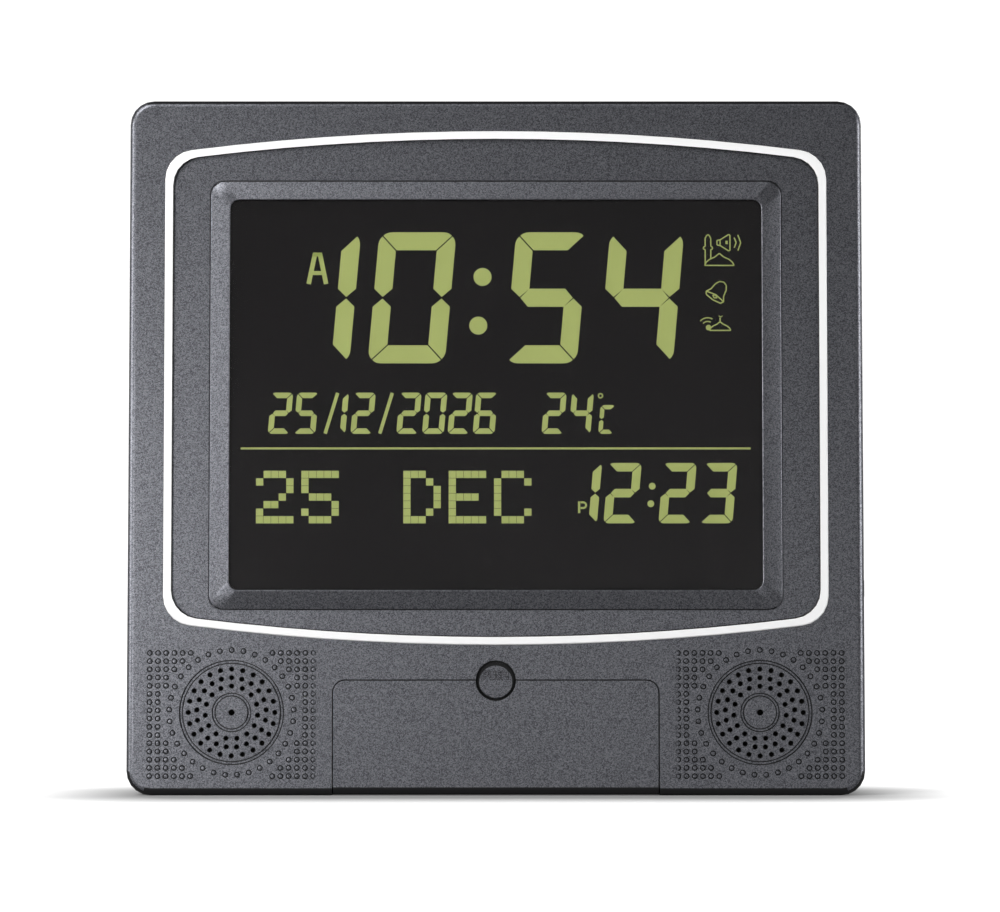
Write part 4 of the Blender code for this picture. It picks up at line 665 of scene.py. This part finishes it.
sign_line([(0, 0), (0, 1.4)], 79.4, 25.9)
sign_line([(-0.5, 0.5), (0.2, 0.0), (0.9, 0.5)], 79.4, 27.5, width=0.3)
dot(75.3, 23.8, 1.0, 12)
stroke(arc(75.0, 23.9, 2.1, -50, 30, 5), LINE)
stroke(arc(75.0, 23.9, 3.4, -50, 30, 6), LINE)
bpy.ops.object.select_all(action="DESELECT")
for piece in figures:
    piece.select_set(True)
bpy.context.view_layer.objects.active = figures[0]
bpy.ops.object.join()
display_figures = bpy.context.active_object
display_figures.name = "display_figures"
display_figures.data.materials.append(lit_green)
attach(display_figures, "case")

# Key flap
# A moulded ABS door with the same paint, on two stub pins at its foot, over the setting keys.
keypad_door = take("keypad_door")
soften(keypad_door, 0.25 * MM)
smooth(keypad_door)
finish_piece(keypad_door, "keypad_door", "flap", "shell_grey", grey_paint, black_abs_and_painted_shade)
# Its edges and gap walls take the black as painted shade along the seams.
blacken_unsprayed_and_shaded(keypad_door)

# Push button
# A painted ABS cap on a spring. Its face steps down round the edge, most at the top for a finger's start, and
# the step is made black as a painted shadow crescent. The mould raises its word and a small bar, whose sides are
# made black as painted shade.
BUTTON_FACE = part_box("push_button")[0].y
BUTTON_Z = 0.0403
BUTTON_SIDES = 64
SCOOP_OUTSIDE = 7.0 * MM
SCOOP_INSIDE = 5.8 * MM
SCOOP_DROP = 0.55 * MM
SCOOP_DEPTH = 0.7 * MM
rings = []
for radius, drop, reach in ((SCOOP_OUTSIDE, 0.0, SCOOP_DEPTH), (SCOOP_INSIDE, SCOOP_DROP, 2 * SCOOP_DEPTH)):
    bpy.ops.object.select_all(action="DESELECT")
    bpy.ops.mesh.primitive_cylinder_add(
        vertices=BUTTON_SIDES, radius=radius, depth=2 * reach, rotation=(math.pi / 2, 0, 0),
        location=(0, BUTTON_FACE, BUTTON_Z - drop),
    )
    rings.append(bpy.context.active_object)
apply_modifier(rings[0], "BOOLEAN", operation="DIFFERENCE", solver="MANIFOLD", object=rings[1])
push_button = take("push_button")
apply_modifier(push_button, "BOOLEAN", operation="DIFFERENCE", solver="MANIFOLD", object=rings[0])
for ring in rings:
    bpy.data.objects.remove(ring)
soften(push_button, 0.12 * MM)
smooth(push_button)
finish_piece(push_button, "push_button", "button", "shell_grey", grey_paint, black_abs_and_painted_shade)
# The step and the side walls take the black as painted shade.
for face in push_button.data.polygons:
    if face.center.y > BUTTON_FACE + SCOOP_DEPTH / 2 or face.normal.y > -0.4:
        face.material_index = 1
WORD_WIDTH = 8.9 * MM
WORD_HEIGHT = 3.0 * MM
WORD_RISE = 1.7 * MM
WORD_DEPTH = 0.4 * MM
WORD_EDGE = 0.18 * MM
bpy.ops.object.select_all(action="DESELECT")
bpy.ops.object.text_add(rotation=(math.pi / 2, 0, 0))
word = bpy.context.active_object
word.data.body = "PUSH"
word.data.align_x, word.data.align_y = "CENTER", "CENTER"
word.data.size = WORD_HEIGHT / 0.7
word.data.extrude = WORD_DEPTH / 2 - WORD_EDGE
word.data.resolution_u = 4
word.data.bevel_depth = WORD_EDGE
word.data.bevel_resolution = 0
bpy.ops.object.convert(target="MESH")
word = bpy.context.active_object
word.scale.x = WORD_WIDTH / word.dimensions.x
word.location = (0, BUTTON_FACE - WORD_DEPTH / 2, BUTTON_Z + WORD_RISE)
bpy.ops.object.transform_apply(location=True, rotation=True, scale=True)
bpy.ops.object.mode_set(mode="EDIT")
bpy.ops.mesh.select_all(action="SELECT")
bpy.ops.mesh.remove_doubles(threshold=0.001 * MM)
bpy.ops.mesh.normals_make_consistent(inside=False)
bpy.ops.object.mode_set(mode="OBJECT")
word.name = "push_lettering"
word.data.materials.append(grey_paint)
word.data.materials.append(black_abs_and_painted_shade)
# The word's sides take the black as painted shade, which outlines it.
blacken_unsprayed_and_shaded(word, -0.9)
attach(word, "button")
BAR_HALF_X, BAR_HALF_Z, BAR_DROP, BAR_LINE = 3.1 * MM, 0.55 * MM, 4.2 * MM, 0.25 * MM
bpy.ops.object.select_all(action="DESELECT")
bpy.ops.mesh.primitive_plane_add(size=2, rotation=(math.pi / 2, 0, 0))
mark = bpy.context.active_object
mark.scale = (BAR_HALF_X, BAR_HALF_Z, 1)
mark.location = (0, BUTTON_FACE + 0.05 * MM, BUTTON_Z - BAR_DROP)
bpy.ops.object.transform_apply(location=True, rotation=True, scale=True)
bpy.ops.object.mode_set(mode="EDIT")
bpy.ops.mesh.select_all(action="SELECT")
bpy.ops.mesh.inset(thickness=BAR_LINE)
bpy.ops.mesh.delete(type="FACE")
bpy.ops.mesh.select_all(action="SELECT")
bpy.ops.mesh.extrude_region_move(TRANSFORM_OT_translate={"value": (0, -WORD_DEPTH, 0)})
bpy.ops.mesh.select_all(action="SELECT")
bpy.ops.mesh.normals_make_consistent(inside=False)
bpy.ops.object.mode_set(mode="OBJECT")
mark.name = "push_bar"
mark.data.materials.append(grey_paint)
mark.data.materials.append(black_abs_and_painted_shade)
# The bar's sides take the black as painted shade.
blacken_unsprayed_and_shaded(mark, -0.9)
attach(mark, "button")

# Push button's spring
# A coil of nickel-plated spring wire behind the cap, which shortens by the button's stroke.
nickel_steel = plain_finish("nickel_plated_spring_steel", "#cfcdc6", 0.25, metallic=1.0, relief=0.04)
push_spring = take("push_spring")
smooth(push_spring, 60)
finish_piece(push_spring, "push_spring", "case", "steel_plated", nickel_steel)
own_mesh(push_spring)

# Setting keys
# Eight caps of grey silicone rubber behind the flap, each pressed on its own switch.
silicone = plain_finish("dark_silicone_rubber", "#2e2f33", 0.6, relief=0.1, grain=0.3 * MM)
for number in range(1, 9):
    node = "key_cap_%d" % number
    cap = take(node)
    soften(cap, 0.2 * MM, 3)
    smooth(cap)
    finish_piece(cap, node, "key_%d" % number, "rubber_dark", silicone)
for node in ("zebra_strip_top", "zebra_strip_bottom"):
    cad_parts[node].data.materials[0] = silicone

# Volume knob
# A small square slide of black ABS in a slot of the right side, on the lever of its switch.
volume_knob = take("volume_knob")
soften(volume_knob, 0.25 * MM, 3)
smooth(volume_knob)
finish_piece(volume_knob, "volume_knob", "volume", "plastic_black", black_abs_and_painted_shade)

# Rear case, battery door and stand leg
# Black ABS with a spark-eroded surface. The battery door slides into the rear case, and the leg
# swings out on a pin to lean the clock back.
eroded_abs = plain_finish("spark_eroded_black_abs", "#222226", 0.52, relief=0.3, grain=0.4 * MM)
for node, body, slot, width in (
    ("rear_case", "case", "shell_black", 0.0), ("battery_door", "battery_lid", "shell_black", 0.2 * MM),
    ("stand_leg", "stand", "shell_black", 0.2 * MM),
):
    piece = take(node)
    if width:
        soften(piece, width)
    smooth(piece)
    finish_piece(piece, node, body, slot, eroded_abs)

# Screws, springs, contacts and the other pieces inside
# Each keeps its CAD form and gets the finish of its real material.
zinc_steel = plain_finish("zinc_plated_steel", "#b9bcc2", 0.34, metallic=1.0, relief=0.05, grain=0.6 * MM)
pressed_steel = plain_finish("black_pressed_steel", "#3a3b3e", 0.42, metallic=0.6, relief=0.08)
circuit_board = plain_finish("green_solder_mask", "#1f5b34", 0.35, relief=0.08, grain=1.5 * MM)
black_epoxy = plain_finish("black_epoxy_package", "#161617", 0.55, relief=0.15, grain=0.3 * MM)
cone_paper = plain_finish("pressed_cone_paper", "#2a2725", 0.85, relief=0.4, grain=0.6 * MM)
ferrite = plain_finish("grey_ferrite", "#4b4b4e", 0.6, relief=0.2, grain=0.5 * MM)
cell_sleeve = plain_finish("printed_pvc_sleeve", "#3f6f9e", 0.3)
INSIDE = (
    (zinc_steel, ("case_screw_1", "case_screw_2", "case_screw_3", "case_screw_4", "board_screw_1", "board_screw_2",
                  "board_screw_3", "board_screw_4", "key_board_screw_1", "key_board_screw_2", "crystal")),
    (nickel_steel, ("battery_spring_1", "battery_spring_2", "battery_spring_3", "battery_spring_4",
                    "contact_link_lower", "contact_link_middle", "contact_link_upper", "contact_plus",
                    "contact_minus", "volume_switch")),
    (pressed_steel, ("speaker_frame_left", "speaker_frame_right")),
    (circuit_board, ("main_board", "key_board")),
    (black_epoxy, ("main_chip", "voice_chip", "temperature_sensor")),
    (cone_paper, ("speaker_cone_left", "speaker_cone_right")),
    (ferrite, ("speaker_magnet_left", "speaker_magnet_right")),
    (cell_sleeve, ("battery_cell_1", "battery_cell_2", "battery_cell_3", "battery_cell_4")),
)
for material, nodes in INSIDE:
    for node in nodes:
        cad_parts[node].data.materials[0] = material
